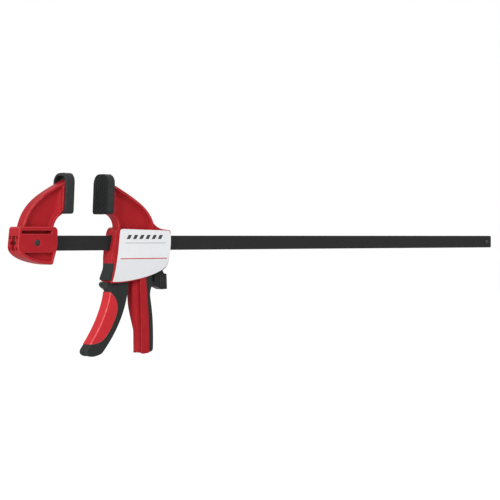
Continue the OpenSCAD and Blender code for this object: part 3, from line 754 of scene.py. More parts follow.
# %% A grid of points on the face
studs, given, result, stud_keys = new_group(
    "Studded face", "GeometryNodeTree",
    [("Cap", "Geometry", None), ("Columns", "Int", 7), ("Rows", "Int", 7), ("Across", "Float", 0.0050),
     ("Up", "Float", 0.0072), ("Stud", "Vector", (0.00085, 0.0023, 0.0034)), ("Centre", "Vector", None),
     ("Corner y", "Float", 0.006), ("Corner z", "Float", 0.0165), ("Corner radius", "Float", 0.0085),
     ("Finish", "Material", None)], [("Studded", "Geometry")])
grid = add_node(studs, "GeometryNodeMeshGrid", {
    "Vertices X": given["Columns"], "Vertices Y": given["Rows"]}).outputs["Mesh"]
count = add_node(studs, "GeometryNodeInputIndex").outputs[0]
column = calc(studs, "FLOOR", calc(studs, "DIVIDE", count, given["Rows"]))
row = calc(studs, "MODULO", count, given["Rows"])
row = calc(studs, "MULTIPLY_ADD", calc(studs, "MODULO", column, 2.0), 0.5, row)


def spaced(index, number, pitch, shift):
    """Place of one point in a centred row of evenly spaced points."""
    middle = calc(studs, "MULTIPLY_ADD", number, 0.5, shift)
    return calc(studs, "MULTIPLY", calc(studs, "SUBTRACT", index, middle), pitch)


across = spaced(column, given["Columns"], given["Across"], shift=-0.5)
up = spaced(row, given["Rows"], given["Up"], shift=-0.25)
spot = add_node(studs, "ShaderNodeCombineXYZ", {"Y": across, "Z": up}).outputs[0]
spot = add_node(studs, "ShaderNodeVectorMath", {0: spot, 1: given["Centre"]}, operation="ADD").outputs[0]
moved = add_node(studs, "GeometryNodeSetPosition", {"Geometry": grid, "Position": spot}).outputs[0]


# %% Studs on the points
def past_squared(value, limit):
    """Square of the length by which a place lies past a limit."""
    past = calc(studs, "MAXIMUM", calc(studs, "SUBTRACT", value, limit), 0.0)
    return calc(studs, "POWER", past, 2.0)


over_y = past_squared(calc(studs, "ABSOLUTE", across), given["Corner y"])
over_z = past_squared(up, given["Corner z"])
reach = calc(studs, "SQRT", calc(studs, "ADD", over_y, over_z))
past = calc(studs, "GREATER_THAN", reach, given["Corner radius"])
oval = add_node(studs, "GeometryNodeMeshIcoSphere", {"Radius": 1.0, "Subdivisions": 2})
placed = add_node(studs, "GeometryNodeInstanceOnPoints", {
    "Points": moved, "Instance": oval.outputs["Mesh"], "Scale": given["Stud"],
    "Selection": calc(studs, "LESS_THAN", past, 0.5)})
end_tree(studs, placed.outputs[0], given, result, base=given["Cap"])


# %% Pad rubber
# Painted shade: the pads' working face gets a darker colour, for the shade between the studs and from the
# other jaw.
FACE_SHADE = srgb(21, 22, 22)


def painted_face_shade(tree, place, tone):
    """Painted shade: the working face gets a darker colour; its mark comes from the piece itself."""
    mark = add_node(tree, "ShaderNodeAttribute", attribute_name="face")
    return mix_colour(tree, mark.outputs["Fac"], tone, FACE_SHADE)


PAD_RUBBER = finish("pad rubber", (50, 51, 52), (39, 41, 41), (72, 74, 73),
                    rough=(0.6, 0.72), grain=1300.0, cloud=160.0, depth=0.00006, sheen_and_wear=0.08,
                    specular=0.14, print_on=painted_face_shade)

# %% Cap, studs and soft edges
STUD_H, PAD_BACK_R, PAD_FACE_R, PAD_IN = 0.9, 3.0, 0.9, 0.03
PAD_TOP_R, PAD_LOW_R, VOXEL, PAD_SMOOTHING = 13.5, 4.5, 0.4, 4
PAD_HOLLOW = ((9.8, 4.6), (1.0, 4.4), (0.2, 4.0), (0.0, 3.4))
FACE_SHADE_DEEP, FACE_SHADE_BLEND = 2.6, 0.8


def make_pad(name, node, facing, body, back, shift):
    low, high = (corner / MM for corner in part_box(node))
    centre = (low + high) / 2
    face = high.x if facing > 0 else low.x
    floor = face - facing * STUD_H
    half_w, half_h = (high.y - low.y) / 2 - PAD_IN, (high.z - low.z) / 2 - PAD_IN
    outline = rounded_box(-half_w, half_w, -half_h, half_h, PAD_TOP_R, PAD_LOW_R)
    steps = [(back + facing * deep, d) for deep, d in (*PAD_HOLLOW, *near_round(0, PAD_BACK_R))]
    steps += [(floor + facing * deep, d) for deep, d in far_round(0, PAD_FACE_R)]
    bm = bmesh.new()
    add_loft(bm, [[(x, y, z + centre.z) for y, z in inset(outline, d)] for x, d in steps])
    studded = run_nodes(mesh_from(bm, name), studs, {
        stud_keys["Centre"]: (floor * MM, 0.0, centre.z * MM), stud_keys["Finish"]: PAD_RUBBER})
    soft = modified(studded, ("REMESH", {"mode": "VOXEL", "voxel_size": VOXEL * MM}),
                    ("SMOOTH", {"factor": 0.5, "iterations": PAD_SMOOTHING}))
    # The mark for the painted shade: 1 on the working face, fading out over a depth.
    depths = [facing * (face - v.co.x / MM) for v in soft.vertices]
    face_shade_mark = soft.attributes.new("face", "FLOAT", "POINT")
    marks = [held((FACE_SHADE_DEEP - deep) / FACE_SHADE_BLEND) for deep in depths]
    face_shade_mark.data.foreach_set("value", marks)
    for v in soft.vertices:
        v.co.x += (lean(v.co.z / MM) + shift) * MM
    return dress(name, soft, PAD_RUBBER, body, "black_rubber", node)


FIXED_SHIFT, SLIDING_SHIFT = 0.5, 0.3
make_pad("fixed_pad", "fixed_jaw_pad", 1, "frame", FIXED_BACK - FIXED_SHIFT, FIXED_SHIFT)
make_pad("sliding_pad", "sliding_jaw_pad", -1, "sliding_jaw", JAW_GAP + SLIDING_BACK - SLIDING_SHIFT,
         SLIDING_SHIFT)

# %% [markdown]
# ## The sliding jaw's housing
# The housing is a hollow tray, closed on the near side by a cover. Its rings start on the floor of
# the hollow, go up inside, over the rim, along the wall and round the far edge. The far face has
# seats for the screws. Slots for the bar, the trigger and the release lever are cut through the
# walls.

# %% Housing
WIDE, WALL, COVER_T = 13.0, 3.0, 2.5
Y_COVER = -WIDE + COVER_T
BROW = (26.2, 22.4)
belly = joined(
    curve((12.5, -57), (45, -57), (82, -50), (107, -35), 34),
    curve((107, -35), (111.6, -30.4), (115.2, -12), (115.2, 4.5)),
    arc((110.2, 15.5), 5, 0, 90), curve(BROW, (22.4, 22), (19.5, 18.5), (18.5, 12.5), 14))
housing_side = joined(belly, [(18.5, 12.5), (14.3, -10.5), (13.3, -20.5), (13.3, -29)])
screw_at = [(21, -22.5), (63.07, -40), (80.5, -38.5), (34.5, 18), (100.5, 16.5)]
handle_screw_at = [(68.5, -88.6), (70.7, -149.8)]
SEAT_R, SEAT_DEEP, SEAT_RIM, SEAT_DRAFT = 2.95, 2.0, 0.35, 0.02
TOP_DROP, TOP_FROM, TOP_SPAN = 1.9, 10, 12
SLOPE_FROM, SLOPE_TO = 4, 9
RIM_IN, RIM_DOWN, FAR_R = 0.5, 0.35, 0.8


def sloped(points, y):
    """Lowers the top of a side view, fully in the near half and not at all at the far screws."""
    share = TOP_DROP * held((SLOPE_TO - y) / (SLOPE_TO - SLOPE_FROM))
    return [(x, z - share * max(0.0, z - TOP_FROM) / TOP_SPAN) for x, z in points]


def add_seats(bm, places, y):
    """Round seats for screw heads in a far face at y. Returns their rims for its cap."""
    return [add_pocket(bm, circle(at, SEAT_R, n=28), y, -SEAT_DEEP, SLIDE, SEAT_RIM, SEAT_DRAFT)
            for at in places]


shell = bmesh.new()
steps = [(WIDE - COVER_T, WALL), (Y_COVER, WALL), (Y_COVER, RIM_IN), (Y_COVER + RIM_DOWN, 0)]
steps += [(SLOPE_FROM, 0), (SLOPE_TO, 0), *far_round(WIDE, FAR_R)]
rows = add_rings(shell, [ring_at(sloped(inset(housing_side, d), y), y, SLIDE) for y, d in steps])
add_cap(shell, rows[0])
add_cap(shell, rows[-1], add_seats(shell, screw_at, WIDE))
print("housing rings:", len(rows))

# %% Slots and lip of the housing
SLOT_Y, SLOT_Z, LIP_EDGE = 3.4, 10.9, 0.4
lip_side = [(10.2, -55.0), (16, -55.4), (16, -53.0), (10.2, -53.0)]


def in_slide(low, high):
    """A box of the sliding jaw, in the frame."""
    return [(x + JAW_GAP, y, z + BAR_Z) for x, y, z in (low, high)]


bar_slots = [in_slide((8, -SLOT_Y, -SLOT_Z), (24, SLOT_Y, SLOT_Z)),
             in_slide((104, -SLOT_Y, -SLOT_Z), (124, SLOT_Y, SLOT_Z))]
trigger_slot = in_slide((16, -10, -62), (49.5, 10, -48))
release_slot = in_slide((86, -16, -57), (109.5, 10.2, -27.5))
body_shell = cut(shell, [*bar_slots, trigger_slot, release_slot])
add_slab(body_shell, lip_side, SLIDE, Y_COVER, WIDE - LIP_EDGE, r_low=0.2, r_high=LIP_EDGE)
print("housing cut:", len(body_shell.faces), "faces")

# %% [markdown]
# ## The sliding jaw's arm
# The arm is another I-beam. Its back runs out along the housing's top in a low fillet, which is a slab
# of its own, a little narrower than the arm's rim so that no two faces lie in one plane.

# %% Arm on the housing
slide_outer = ((88.5, 26.5), (81.5, 52.5), (50, 67), (12, 84.5))
slide_throat = (BROW, (26.2, 32), (20.5, 38), (13, 41.5))
run_out = joined([(85, 26.5), (85, 15), (112.5, 15)],
                 curve((112.5, 19.1), (103, 19.6), (95.8, 20.9), (88.6, 28), 16), [(88.6, 28)])
RUN_OUT_HALF, RUN_OUT_R = RIM_HALF - 0.2, 1.0
add_arm(body_shell, slide_outer, slide_throat, SLIDE, foot=9, into_pad=-4, fillets=(3.0, 8.0),
        flare=(4.0, 0.5), web_at=thickened(SLIDING_BACK, 1, flat=6, reach=9, height=4.6))
add_slab(body_shell, run_out, SLIDE, -RUN_OUT_HALF, RUN_OUT_HALF, RUN_OUT_R, RUN_OUT_R)
add_flange(body_shell, JAW_GAP + SLIDING_BACK, 1, low=43, high=75)
print("arm added")

# %% [markdown]
# ## The handle
# The handle is a round nose between two flat cheeks. The cheeks stand out past the middle of the
# handle, and leave a deep crease on each side of the nose. The near cheek belongs to the cover. Here
# are the middle, which is set back behind the crease, and the far cheek: they are rings of one side
# view whose front edge moves.

# %% Handle
HANDLE_HALF, CHEEK_T, CREASE_DEEP, FAR_BACK = 12.5, 2.2, 7.0, 2.5
CHEEK_STEP, CHEEK_R, COVER_GAP = 0.05, 0.9, 0.02
seam = ((76.5, -158.6), (77, -116.2), (74.5, -85.6), (71, -50))
crease = ((63.2, -159.4), (62.6, -110), (62.2, -85), (60.8, -57))


def handle_side(back):
    """Side view of the handle, with its front edge moved back by a length."""
    x, z = crease[0]
    foot = ((x + back, z), (68 + back / 2, -159.9), (72 + back / 4, -159.5), seam[0])
    front = [(x + back, z) for x, z in curve(*crease[::-1], 30)]
    return joined(curve(*foot, 10), curve(*seam, 30), [seam[3], (61.5 + back, -50)], front)


cheek_in = HANDLE_HALF - CHEEK_T
steps = [(Y_COVER + COVER_GAP, CREASE_DEEP, 0), (cheek_in - CHEEK_STEP, CREASE_DEEP, 0)]
steps += [(y, FAR_BACK, d) for y, d in ((cheek_in, 0), *far_round(HANDLE_HALF, CHEEK_R))]
rows = add_rings(body_shell, [ring_at(inset(handle_side(back), d), y, SLIDE) for y, back, d in steps])
add_cap(body_shell, rows[0])
add_cap(body_shell, rows[-1], add_seats(body_shell, handle_screw_at, HANDLE_HALF))
print("handle rings:", len(rows))

# %% [markdown]
# The nose is lofted from level to level. Each ring is a super-ellipse, deep at the top, where the
# nose flares into the housing, and shallow further down. Its widest place lies behind the cheeks'
# front edges, so the crease gets darker the deeper it goes.

# %% Nose
NOSE_HALF, NOSE_POWER, NOSE_PAST, NOSE_TAIL = 8.6, 2.1, math.radians(20), 5.0
NOSE_WIDEN, NOSE_SQUARE, WIDEN_FROM, WIDEN_OVER, NEAR_SHARE = 1.6, 2.4, 0.3, 0.4, 0.2
FOOT_SIZE, FOOT_GROWTH, FOOT_SHARE = 0.82, 0.18, 0.035
WIDTH_KEPT, WIDTH_SHRUNK = 0.4, 0.6
FOOT_FALL, FALL_SHARE, FALL_REACH = 1.8, 0.1, 8
FOOT_LEVELS, NOSE_LEVELS = [0, 0.008, 0.018, 0.03], 40
nose_front = ((59.4, -156.6), (62.5, -113), (47, -106), (51.6, -50))


def bulge(value, power):
    """A sine or cosine as a super-ellipse has it."""
    return math.copysign(abs(value) ** (2 / power), value)


def crease_at(z):
    """Where the crease lies at a height."""
    line = curve(*crease, 60) + [crease[3]]
    return min(line, key=lambda point: abs(point[1] - z))[0]


def nose_ring(t, n=34):
    """Ring of the nose at a share t of the way up its front."""
    x_front, z = curve_point(nose_front, t)
    x_wide = crease_at(z) + CREASE_DEEP
    shrink = FOOT_SIZE + FOOT_GROWTH * math.sin(min(1.0, t / FOOT_SHARE) * math.pi / 2)
    high = held((t - WIDEN_FROM) / WIDEN_OVER)
    fall = FOOT_FALL * max(0.0, 1 - t / FALL_SHARE)
    ring = []
    for k in range(n + 1):
        turn = (math.pi / 2 + NOSE_PAST) * (2 * k / n - 1)
        c, s = math.cos(turn), math.sin(turn)
        share = high if s > 0 else NEAR_SHARE * high
        power, half = NOSE_POWER + NOSE_SQUARE * share, NOSE_HALF + NOSE_WIDEN * share
        deep = x_wide - x_front if c > 0 else NOSE_TAIL
        x = x_wide - deep * bulge(c, power) * shrink
        y = half * bulge(s, power) * (WIDTH_KEPT + WIDTH_SHRUNK * shrink)
        ring.append((x + JAW_GAP, y, z - fall * min(1.0, (x - x_front) / FALL_REACH) + BAR_Z))
    return ring


foot_top = FOOT_LEVELS[-1]
levels = FOOT_LEVELS + [foot_top + (1 - foot_top) * k / NOSE_LEVELS for k in range(1, NOSE_LEVELS + 1)]
add_loft(body_shell, [nose_ring(t) for t in levels])
piece("sliding_jaw_shell", body_shell, RED, "sliding_jaw", "red_plastic", "sliding_jaw_body")

# %% [markdown]
# ## The side cover
# The cover is a plate with slightly rounded edges that closes the housing and makes the handle's near
# cheek. In front its edge runs down beside the rubber guard.

# %% Cover
COVER_EDGE, CHEEK_EDGE, SEAM_EDGE = 0.5, 0.35, 0.15
guard_edge = [(15.6, -29), (14.7, -36.9), (13.2, -41.8), (12.2, -46.7), (11.5, -49.7), (10.5, -54.6)]
cover_side = joined([(10.5, -55.4), (11.2, -56.9)], belly,
                    [(18.5, 12.5), (15.4, -10.5), (15, -20.5)], guard_edge)
shell = bmesh.new()
add_slab(shell, sloped(cover_side, -WIDE), SLIDE, -WIDE, Y_COVER, COVER_EDGE, SEAM_EDGE)
add_slab(shell, handle_side(0), SLIDE, -HANDLE_HALF, Y_COVER, CHEEK_EDGE, SEAM_EDGE)
piece("cover_plate", shell, RED, "sliding_jaw", "red_plastic", "side_cover")

# %% [markdown]
# ## The rubber strip down the handle
# The strip's inner edge follows the seam, and its back is round. It is lofted like the nose, but its
# levels lean: each runs from a point of the seam to a point of the back, so the strip can widen into
# the saddle where the thumb lies.

# %% Rubber strip
STRIP_HALF, STRIP_ROUND, STRIP_SQUARE = 11.4, 2.8, 5.0
SADDLE_LOW, SADDLE_HIGH, SEAM_STRETCH = -76, -62, 1.02
strip_back = (
    curve(seam[0], (81, -159.3), (88.2, -159.1), (88.4, -155.2), 8)
    + curve((88.4, -155.2), (89.8, -112), (86.2, -93), (83.2, -78), 30)
    + curve((83.2, -78), (82.2, -72), (82.2, -68.5), (83.6, -66), 8)
    + curve((83.6, -66), (84.6, -63.5), (85, -61.5), (85, -58), 6)
    + [(85, -58), (85.1, -51.5), (85.2, -45)])
last = len(strip_back) - 1
strip_seam = [curve_point(seam, min(1.0, SEAM_STRETCH * k / last)) for k in range(last + 1)]


def strip_ring(inner, outer, n=26):
    """Ring of the strip between a point of the seam and one of the back; squarer at the saddle."""
    rise = held((outer[1] - SADDLE_LOW) / (SADDLE_HIGH - SADDLE_LOW))
    power = STRIP_ROUND + (STRIP_SQUARE - STRIP_ROUND) * rise
    ring = []
    for k in range(n + 1):
        turn = math.pi * (k / n - 0.5)
        along = bulge(max(0.0, math.cos(turn)), power)
        x, z = (inner[i] + (outer[i] - inner[i]) * along for i in (0, 1))
        ring.append((x + JAW_GAP, STRIP_HALF * bulge(math.sin(turn), power), z + BAR_Z))
    return ring


shell = bmesh.new()
add_loft(shell, [strip_ring(a, b) for a, b in zip(strip_seam[1:], strip_back[1:])])
piece("handle_strip", shell, RUBBER, "sliding_jaw", "black_rubber", "handle_grip")

# %% [markdown]
# ## The finger guard
# A black rubber cushion in front of the housing keeps the fingers off the moving trigger. It bulges
# towards its lower lip. Its near end comes forward, up to the cover's edge.

# %% Guard
GUARD_GAP, GUARD_LOW, GUARD_IN, GUARD_LAP = 0.3, -53.2, 0.2, 0.05
guard_front = ((13.3, -29), (13.2, -38.5), (9.3, -42.5), (7, -50.2))
guard_face = curve(*guard_front, 16) + curve((7, -50.2), (6.6, -52), (7.4, -53.2), (9.5, -53.4), 6)
guard_side = joined([(13.2, -53.6), (14.8, -29)], guard_face)
guard_end = joined([(x - GUARD_GAP, max(z, GUARD_LOW)) for x, z in reversed(guard_edge)], guard_face)
shell = bmesh.new()
add_slab(shell, guard_side, SLIDE, Y_COVER + GUARD_LAP, WIDE - GUARD_LAP, r_low=0.1, r_high=1.6)
add_slab(shell, guard_end, SLIDE, -WIDE + GUARD_IN, Y_COVER + GUARD_GAP, r_low=0.3, r_high=0.1)
piece("guard_cushion", shell, RUBBER, "sliding_jaw", "black_rubber", "finger_guard")

# %% [markdown]
# ## The trigger
# The trigger is a long curved lever with a beak under the guard and two lobes at its tip. Its rings
# are side views at each depth. Towards the middle, the tip is drawn up, which leaves the notch
# between the lobes. Inside the housing it has an eye for its pivot.

# %% Trigger lever
TRIGGER_HALF, TRIGGER_R, PIVOT, EYE_R, EYE_HALF, EYE_EDGE = 9.5, 2.4, (37, -29.5), 7.5, 7.0, 0.6
NOTCH_DEEP, NOTCH_HALF, NOTCH_FROM, NOTCH_OVER, NOTCH_LEAN = 5.5, 2.1, -148, 10, 0.45
NOTCH_STEP, NOTCH_STEPS = 0.75, 8
front_line = ((11.5, -68), (8.5, -92), (-6, -121.5), (-27.5, -148))
lever_side = joined(
    curve(*front_line, 34), curve((-27.5, -148), (-35, -158), (-20, -164.2), (-2, -156), 22),
    curve((-2, -156), (24.2, -127), (38.8, -96), (42.6, -66), 34),
    [(42.6, -66), (42.7, -50), (24, -50), (22.5, -54.5), (21, -57.5)],
    curve((12.8, -57.4), (10.5, -57), (8.8, -55.3), (6.6, -55.3), 8), arc((6.4, -58.7), 3.4, 90, 200),
    curve((3.2, -59.9), (4, -64.2), (9.8, -64.6), (11.5, -68), 8)[1:])


def tip_notch(points, y):
    """Draws the tip up, most at the middle of the trigger's width."""
    lift = NOTCH_DEEP * math.exp(-(y / NOTCH_HALF) ** 2)
    moved = []
    for x, z in points:
        share = held((NOTCH_FROM - z) / NOTCH_OVER)
        moved.append((x + NOTCH_LEAN * lift * share, z + lift * share))
    return moved


shell = bmesh.new()
steps = near_round(-TRIGGER_HALF, TRIGGER_R, n=6)
steps += [(NOTCH_STEP * k, 0) for k in range(-NOTCH_STEPS, NOTCH_STEPS + 1)]
steps += far_round(TRIGGER_HALF, TRIGGER_R, n=6)
add_loft(shell, [ring_at(tip_notch(inset(lever_side, d), y), y, SLIDE) for y, d in steps])
eye = arc(PIVOT, EYE_R, -20, 200, 24) + [(26, -52), (40.5, -52), (45, -42.5)]
add_slab(shell, eye, SLIDE, -EYE_HALF, EYE_HALF, EYE_EDGE, EYE_EDGE)
piece("trigger_arm", shell, RUBBER, "trigger", "black_plastic", "trigger_lever")

# %% [markdown]
# ## The trigger's inlay
# A softer red rubber lies over the front and both sides, where the fingers pull. It stands a hair
# proud of the black, and the edge between front and side is crisp enough to draw a line of light,
# which its very pale edge colour makes brighter as a painted highlight.

# %% Inlay
INLAY_PROUD, INLAY_R, INLAY_TOP, INLAY_FOOT, INLAY_STEPS = 0.35, 1.6, 0.03, 0.925, 34
inlay_half, inlay_run = TRIGGER_HALF + INLAY_PROUD, INLAY_FOOT - INLAY_TOP
inlay_front = [curve_point(front_line, INLAY_TOP + inlay_run * k / INLAY_STEPS)
               for k in range(INLAY_STEPS + 1)]
inlay_side = joined(
    inlay_front, curve(inlay_front[-1], (-15, -143.2), (-5, -141), (2.1, -134.8), 14),
    curve((2.1, -134.8), (10, -126.5), (23.2, -106), (23.9, -92.9), 20),
    curve((23.9, -92.9), (23.9, -84), (19.5, -74), inlay_front[0], 16))
shell = bmesh.new()
add_slab(shell, inset(inlay_side, -INLAY_PROUD), SLIDE, -inlay_half, inlay_half, INLAY_R, INLAY_R)
piece("trigger_inlay_soft", shell, SOFT_RED, "trigger", "red_rubber", "trigger_inlay")

# %% [markdown]
# ## The release lever
# The thumb presses a black knob at the back. Its sides carry upright ridges and its back a ladder of
# grips. They repeat, so Geometry Nodes place them: a line of points carries one long oval, of which
# half stands out of the knob.

# %% Nodes that set ribs in a row
ribs, given, result, rib_keys = new_group(
    "Row of ribs", "GeometryNodeTree",
    [("Knob", "Geometry", None), ("Count", "Int", 3), ("Start", "Vector", None), ("Step", "Vector", None),
     ("Rib", "Vector", None), ("Finish", "Material", None)], [("Ribbed", "Geometry")])
line = add_node(ribs, "GeometryNodeMeshLine", {
    "Count": given["Count"], "Start Location": given["Start"], "Offset": given["Step"]})
oval = add_node(ribs, "GeometryNodeMeshUVSphere", {"Segments": 16, "Rings": 12, "Radius": 1.0})
placed = add_node(ribs, "GeometryNodeInstanceOnPoints", {
    "Points": line.outputs[0], "Instance": oval.outputs["Mesh"], "Scale": given["Rib"]})
end_tree(ribs, placed.outputs[0], given, result, base=given["Knob"])

# %% Release lever
RELEASE_HALF = 8.0
knob_side = soften([(92, -36.5), (89.5, -55.5), (92.6, -63.6), (103, -68), (112.6, -67.6), (112.3, -58),
                    (111.7, -45.2), (107, -44.4), (103.5, -38)], r=0.9)
eye = soften([(88, -35), (98, -38.5), (103, -33.5), (98, -27.5), (90.4, -28.5), (90.1, -22.5), (87, -21),
              (84, -23.5)], r=1.5)
# The leaf is a thin black plate along the housing's lower rim. It is partly the lever's lip and partly a
# painted shadow line under that rim.
shadow_line_leaf = [(102.6, -40.6), (103.2, -41), (111, -35.6), (110.6, -35)]
shell = bmesh.new()
for outline, inwards, edge in ((knob_side, 0, 1.4), (eye, 0.4, 0.6), (shadow_line_leaf, 0.6, 0.1)):
    half = RELEASE_HALF - inwards
    add_slab(shell, outline, SLIDE, -half, half, edge, edge)
knob = mesh_from(shell, "knob")


def rib_row(mesh, count, start, step, size):
    """Sets a row of ribs on a mesh: the first one's place, the step to the next, and half sizes."""
    place = (start[0] + SLIDE[0], start[1], start[2] + SLIDE[1])
    values = {rib_keys["Count"]: count, rib_keys["Finish"]: BLACK}
    for label, lengths in (("Start", place), ("Step", step), ("Rib", size)):
        values[rib_keys[label]] = [v * MM for v in lengths]
    return run_nodes(mesh, ribs, values)


for y in (-RELEASE_HALF, RELEASE_HALF):
    knob = rib_row(knob, count=4, start=(99.2, y, -55.5), step=(3.2, 0, 0), size=(0.9, 1.2, 10.0))
knob = rib_row(knob, count=5, start=(111.9, 0, -49.0), step=(0.17, 0, -3.7), size=(0.6, 6.2, 0.9))
dress("release_knob", knob, BLACK, "release", "black_plastic", "release_lever")

# %% [markdown]
# ## The screws on the far side
# Seven pan-head screws hold the cover from the far side. The heads are alike, so Geometry Nodes make
# one, with a cross recess cut by two small boxes, and put it on each point.

# %% Nodes that make a screw's head
DOME_SCALE, DOME_AT, RECESS_AT = (0.96, 0.96, 0.32), 0.5, 0.9
SCREW_TURN = (-math.pi / 2, math.radians(20), 0)
screws, given, result, screw_keys = new_group(
    "Screw heads", "GeometryNodeTree",
    [("Places", "Geometry", None), ("Radius", "Float", 0.0028), ("Height", "Float", 0.0017),
     ("Recess", "Vector", (0.0036, 0.0009, 0.0016)), ("Finish", "Material", None)],
    [("Screws", "Geometry")])


def raised(share):
    """A move up by a share of the head's height."""
    rise = calc(screws, "MULTIPLY", given["Height"], share)
    return add_node(screws, "ShaderNodeCombineXYZ", {"Z": rise}).outputs[0]


disc = add_node(screws, "GeometryNodeMeshCylinder", {
    "Vertices": 32, "Radius": given["Radius"], "Depth": given["Height"]}, fill_type="NGON")
dome = add_node(screws, "GeometryNodeMeshUVSphere", {
    "Segments": 32, "Rings": 16, "Radius": given["Radius"]})
dome = add_node(screws, "GeometryNodeTransform", {
    "Geometry": dome.outputs["Mesh"], "Translation": raised(DOME_AT), "Scale": DOME_SCALE})
head = add_node(screws, "GeometryNodeMeshBoolean", {"Mesh 2": disc.outputs["Mesh"]},
                operation="UNION", solver="EXACT")
screws.links.new(dome.outputs[0], head.inputs["Mesh 2"])

# %% The recess, and a head in each place
recessed = add_node(screws, "GeometryNodeMeshBoolean", {"Mesh 1": head.outputs["Mesh"]},
                    operation="DIFFERENCE", solver="EXACT")
for turn in (0.0, math.pi / 2):
    bar = add_node(screws, "GeometryNodeMeshCube", {"Size": given["Recess"]})
    bar = add_node(screws, "GeometryNodeTransform", {
        "Geometry": bar.outputs["Mesh"], "Rotation": (0, 0, turn), "Translation": raised(RECESS_AT)})
    screws.links.new(bar.outputs[0], recessed.inputs["Mesh 2"])
placed = add_node(screws, "GeometryNodeInstanceOnPoints", {
    "Points": given["Places"], "Instance": recessed.outputs["Mesh"], "Rotation": SCREW_TURN})
end_tree(screws, placed.outputs[0], given, result)

# %% Screws
spots = bmesh.new()
for places, y in ((screw_at, WIDE), (handle_screw_at, HANDLE_HALF)):
    for x, z in places:
        spots.verts.new(Vector((x + SLIDE[0], y - SEAT_DEEP, z + SLIDE[1])) * MM)
heads = run_nodes(plain_mesh(spots, "spots"), screws, {screw_keys["Finish"]: BRIGHT_STEEL})
dress("screw_heads", heads, BRIGHT_STEEL, "sliding_jaw", "pin_steel", "cover_screws")

# %% [markdown]
# ## The label
# A film label covers most of the near side. Its print is plain and generic: a pale grey field at the
# foot, a thin red rule above it, a grey rule, and a row of slanted dark dashes. The print is worked
# out from Object coordinates in the material, so it needs no picture.


# %% Label print
def within(tree, value, low, high):
    """1 where a value lies between two limits."""
    above = calc(tree, "GREATER_THAN", value, low * MM)
    return calc(tree, "MULTIPLY", above, calc(tree, "LESS_THAN", value, high * MM))


FIELD_TOP, FIELD_GREY = -24, srgb(221, 223, 226)
RED_RULE = ((26, 108), (-23.2, -21.8), srgb(186, 48, 54))
DASHES = ((32.9, 94.1), (5.5, 11.5), srgb(52, 53, 55))
GREY_RULE = ((34, 106), (-0.6, 0.2), srgb(150, 152, 156))
DASH_SLANT, DASH_STEP, DASH_LONG = -0.6, 11, 6


def label_print(tree, place, tone):
    """Prints the field, and then each band within its limits along the label and up it."""
    split = add_node(tree, "ShaderNodeSeparateXYZ", {0: place}).outputs
    x = calc(tree, "SUBTRACT", split["X"], SLIDE[0] * MM)
    z = calc(tree, "SUBTRACT", split["Z"], SLIDE[1] * MM)
    slant = calc(tree, "MULTIPLY_ADD", z, DASH_SLANT, x)
    dash = calc(tree, "LESS_THAN", calc(tree, "MODULO", slant, DASH_STEP * MM), DASH_LONG * MM)
    tone = mix_colour(tree, calc(tree, "LESS_THAN", z, FIELD_TOP * MM), tone, FIELD_GREY)
    for band, along, share in ((RED_RULE, x, 1.0), (DASHES, slant, dash), (GREY_RULE, x, 1.0)):
        limits, heights, colour = band
        mask = calc(tree, "MULTIPLY", within(tree, along, *limits), within(tree, z, *heights))
        tone = mix_colour(tree, calc(tree, "MULTIPLY", mask, share), tone, colour)
    return tone


# %% Label
label_side = joined(
    curve((12.6, -55), (40, -56.3), (88, -48.2), (105.6, -35.1), 30),
    curve((105.6, -35.1), (110.9, -30.2), (114.95, -12), (115, 4.5)),
    curve((115, 4.5), (115, 13.5), (114.1, 17.7), (109, 18), 12),
    curve((31, 19.8), (27, 19.8), (25.8, 18.2), (25.4, 14.5), 10),
    curve((25.4, 14.5), (22.8, -9), (20.5, -33), (12.6, -55), 26))
LABEL = finish("label film", (229, 231, 233), (224, 226, 229), (238, 238, 239),
               rough=(0.4, 0.5), grain=2500.0, depth=0.00001, sheen_and_wear=0.2, specular=0.3,
               print_on=label_print)
LABEL_T, LABEL_LAP, LABEL_EDGE = 0.3, 0.02, 0.12
shell = bmesh.new()
add_slab(shell, label_side, SLIDE, -WIDE - LABEL_T, -WIDE + LABEL_LAP, LABEL_EDGE, LABEL_LAP)
piece("side_label", shell, LABEL, "sliding_jaw", "label_film", "label")

# %% [markdown]
# ## Steel parts inside
# The plates and pivot pins inside the housing are the frame's own solids, and only need a finish. The
# two springs get shorter as the levers move in the real clamp. Here each spring's solid is only copied,
# welded and finished, so the copy stays rigid and would cut into the plates as the levers move. The
# record says which joint moves each spring.

# %% Finishes for the solids that stay
for node, metal in (("trigger_pivot_pin", BRIGHT_STEEL), ("release_pivot_pin", BRIGHT_STEEL),
                    ("drive_plates", PLATE_STEEL), ("brake_plate", PLATE_STEEL)):
    solid = frame["nodes"][node].data
    solid.materials.clear()
    solid.materials.append(metal)
print("finished solids")


# %% Springs
def make_spring(node):
    """A welded copy of a spring's solid, with a finish."""
    coil = bmesh.new()
    coil.from_mesh(frame["nodes"][node].data)
    made = piece(node + "_coil", coil, BRIGHT_STEEL, "sliding_jaw", "spring_steel", node)
    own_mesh(made)


for joint in frame["record"]["behaviour"]["joints"]:
    for spring in joint.get("deforming_nodes", []):
        make_spring(spring["node"])

# %% [markdown]
# ## Floor, light and camera
# The floor is pale and keeps a faint shadow. The world is white to the camera and softer as light.
# One lamp stands high in front, a little to the right, so that rims and creases get their shadows. A
# second one from the left lights the faces that look along the bar, and a third one the far side.

# %% Studio
scene = bpy.context.scene
scene.view_settings.view_transform = "Standard"


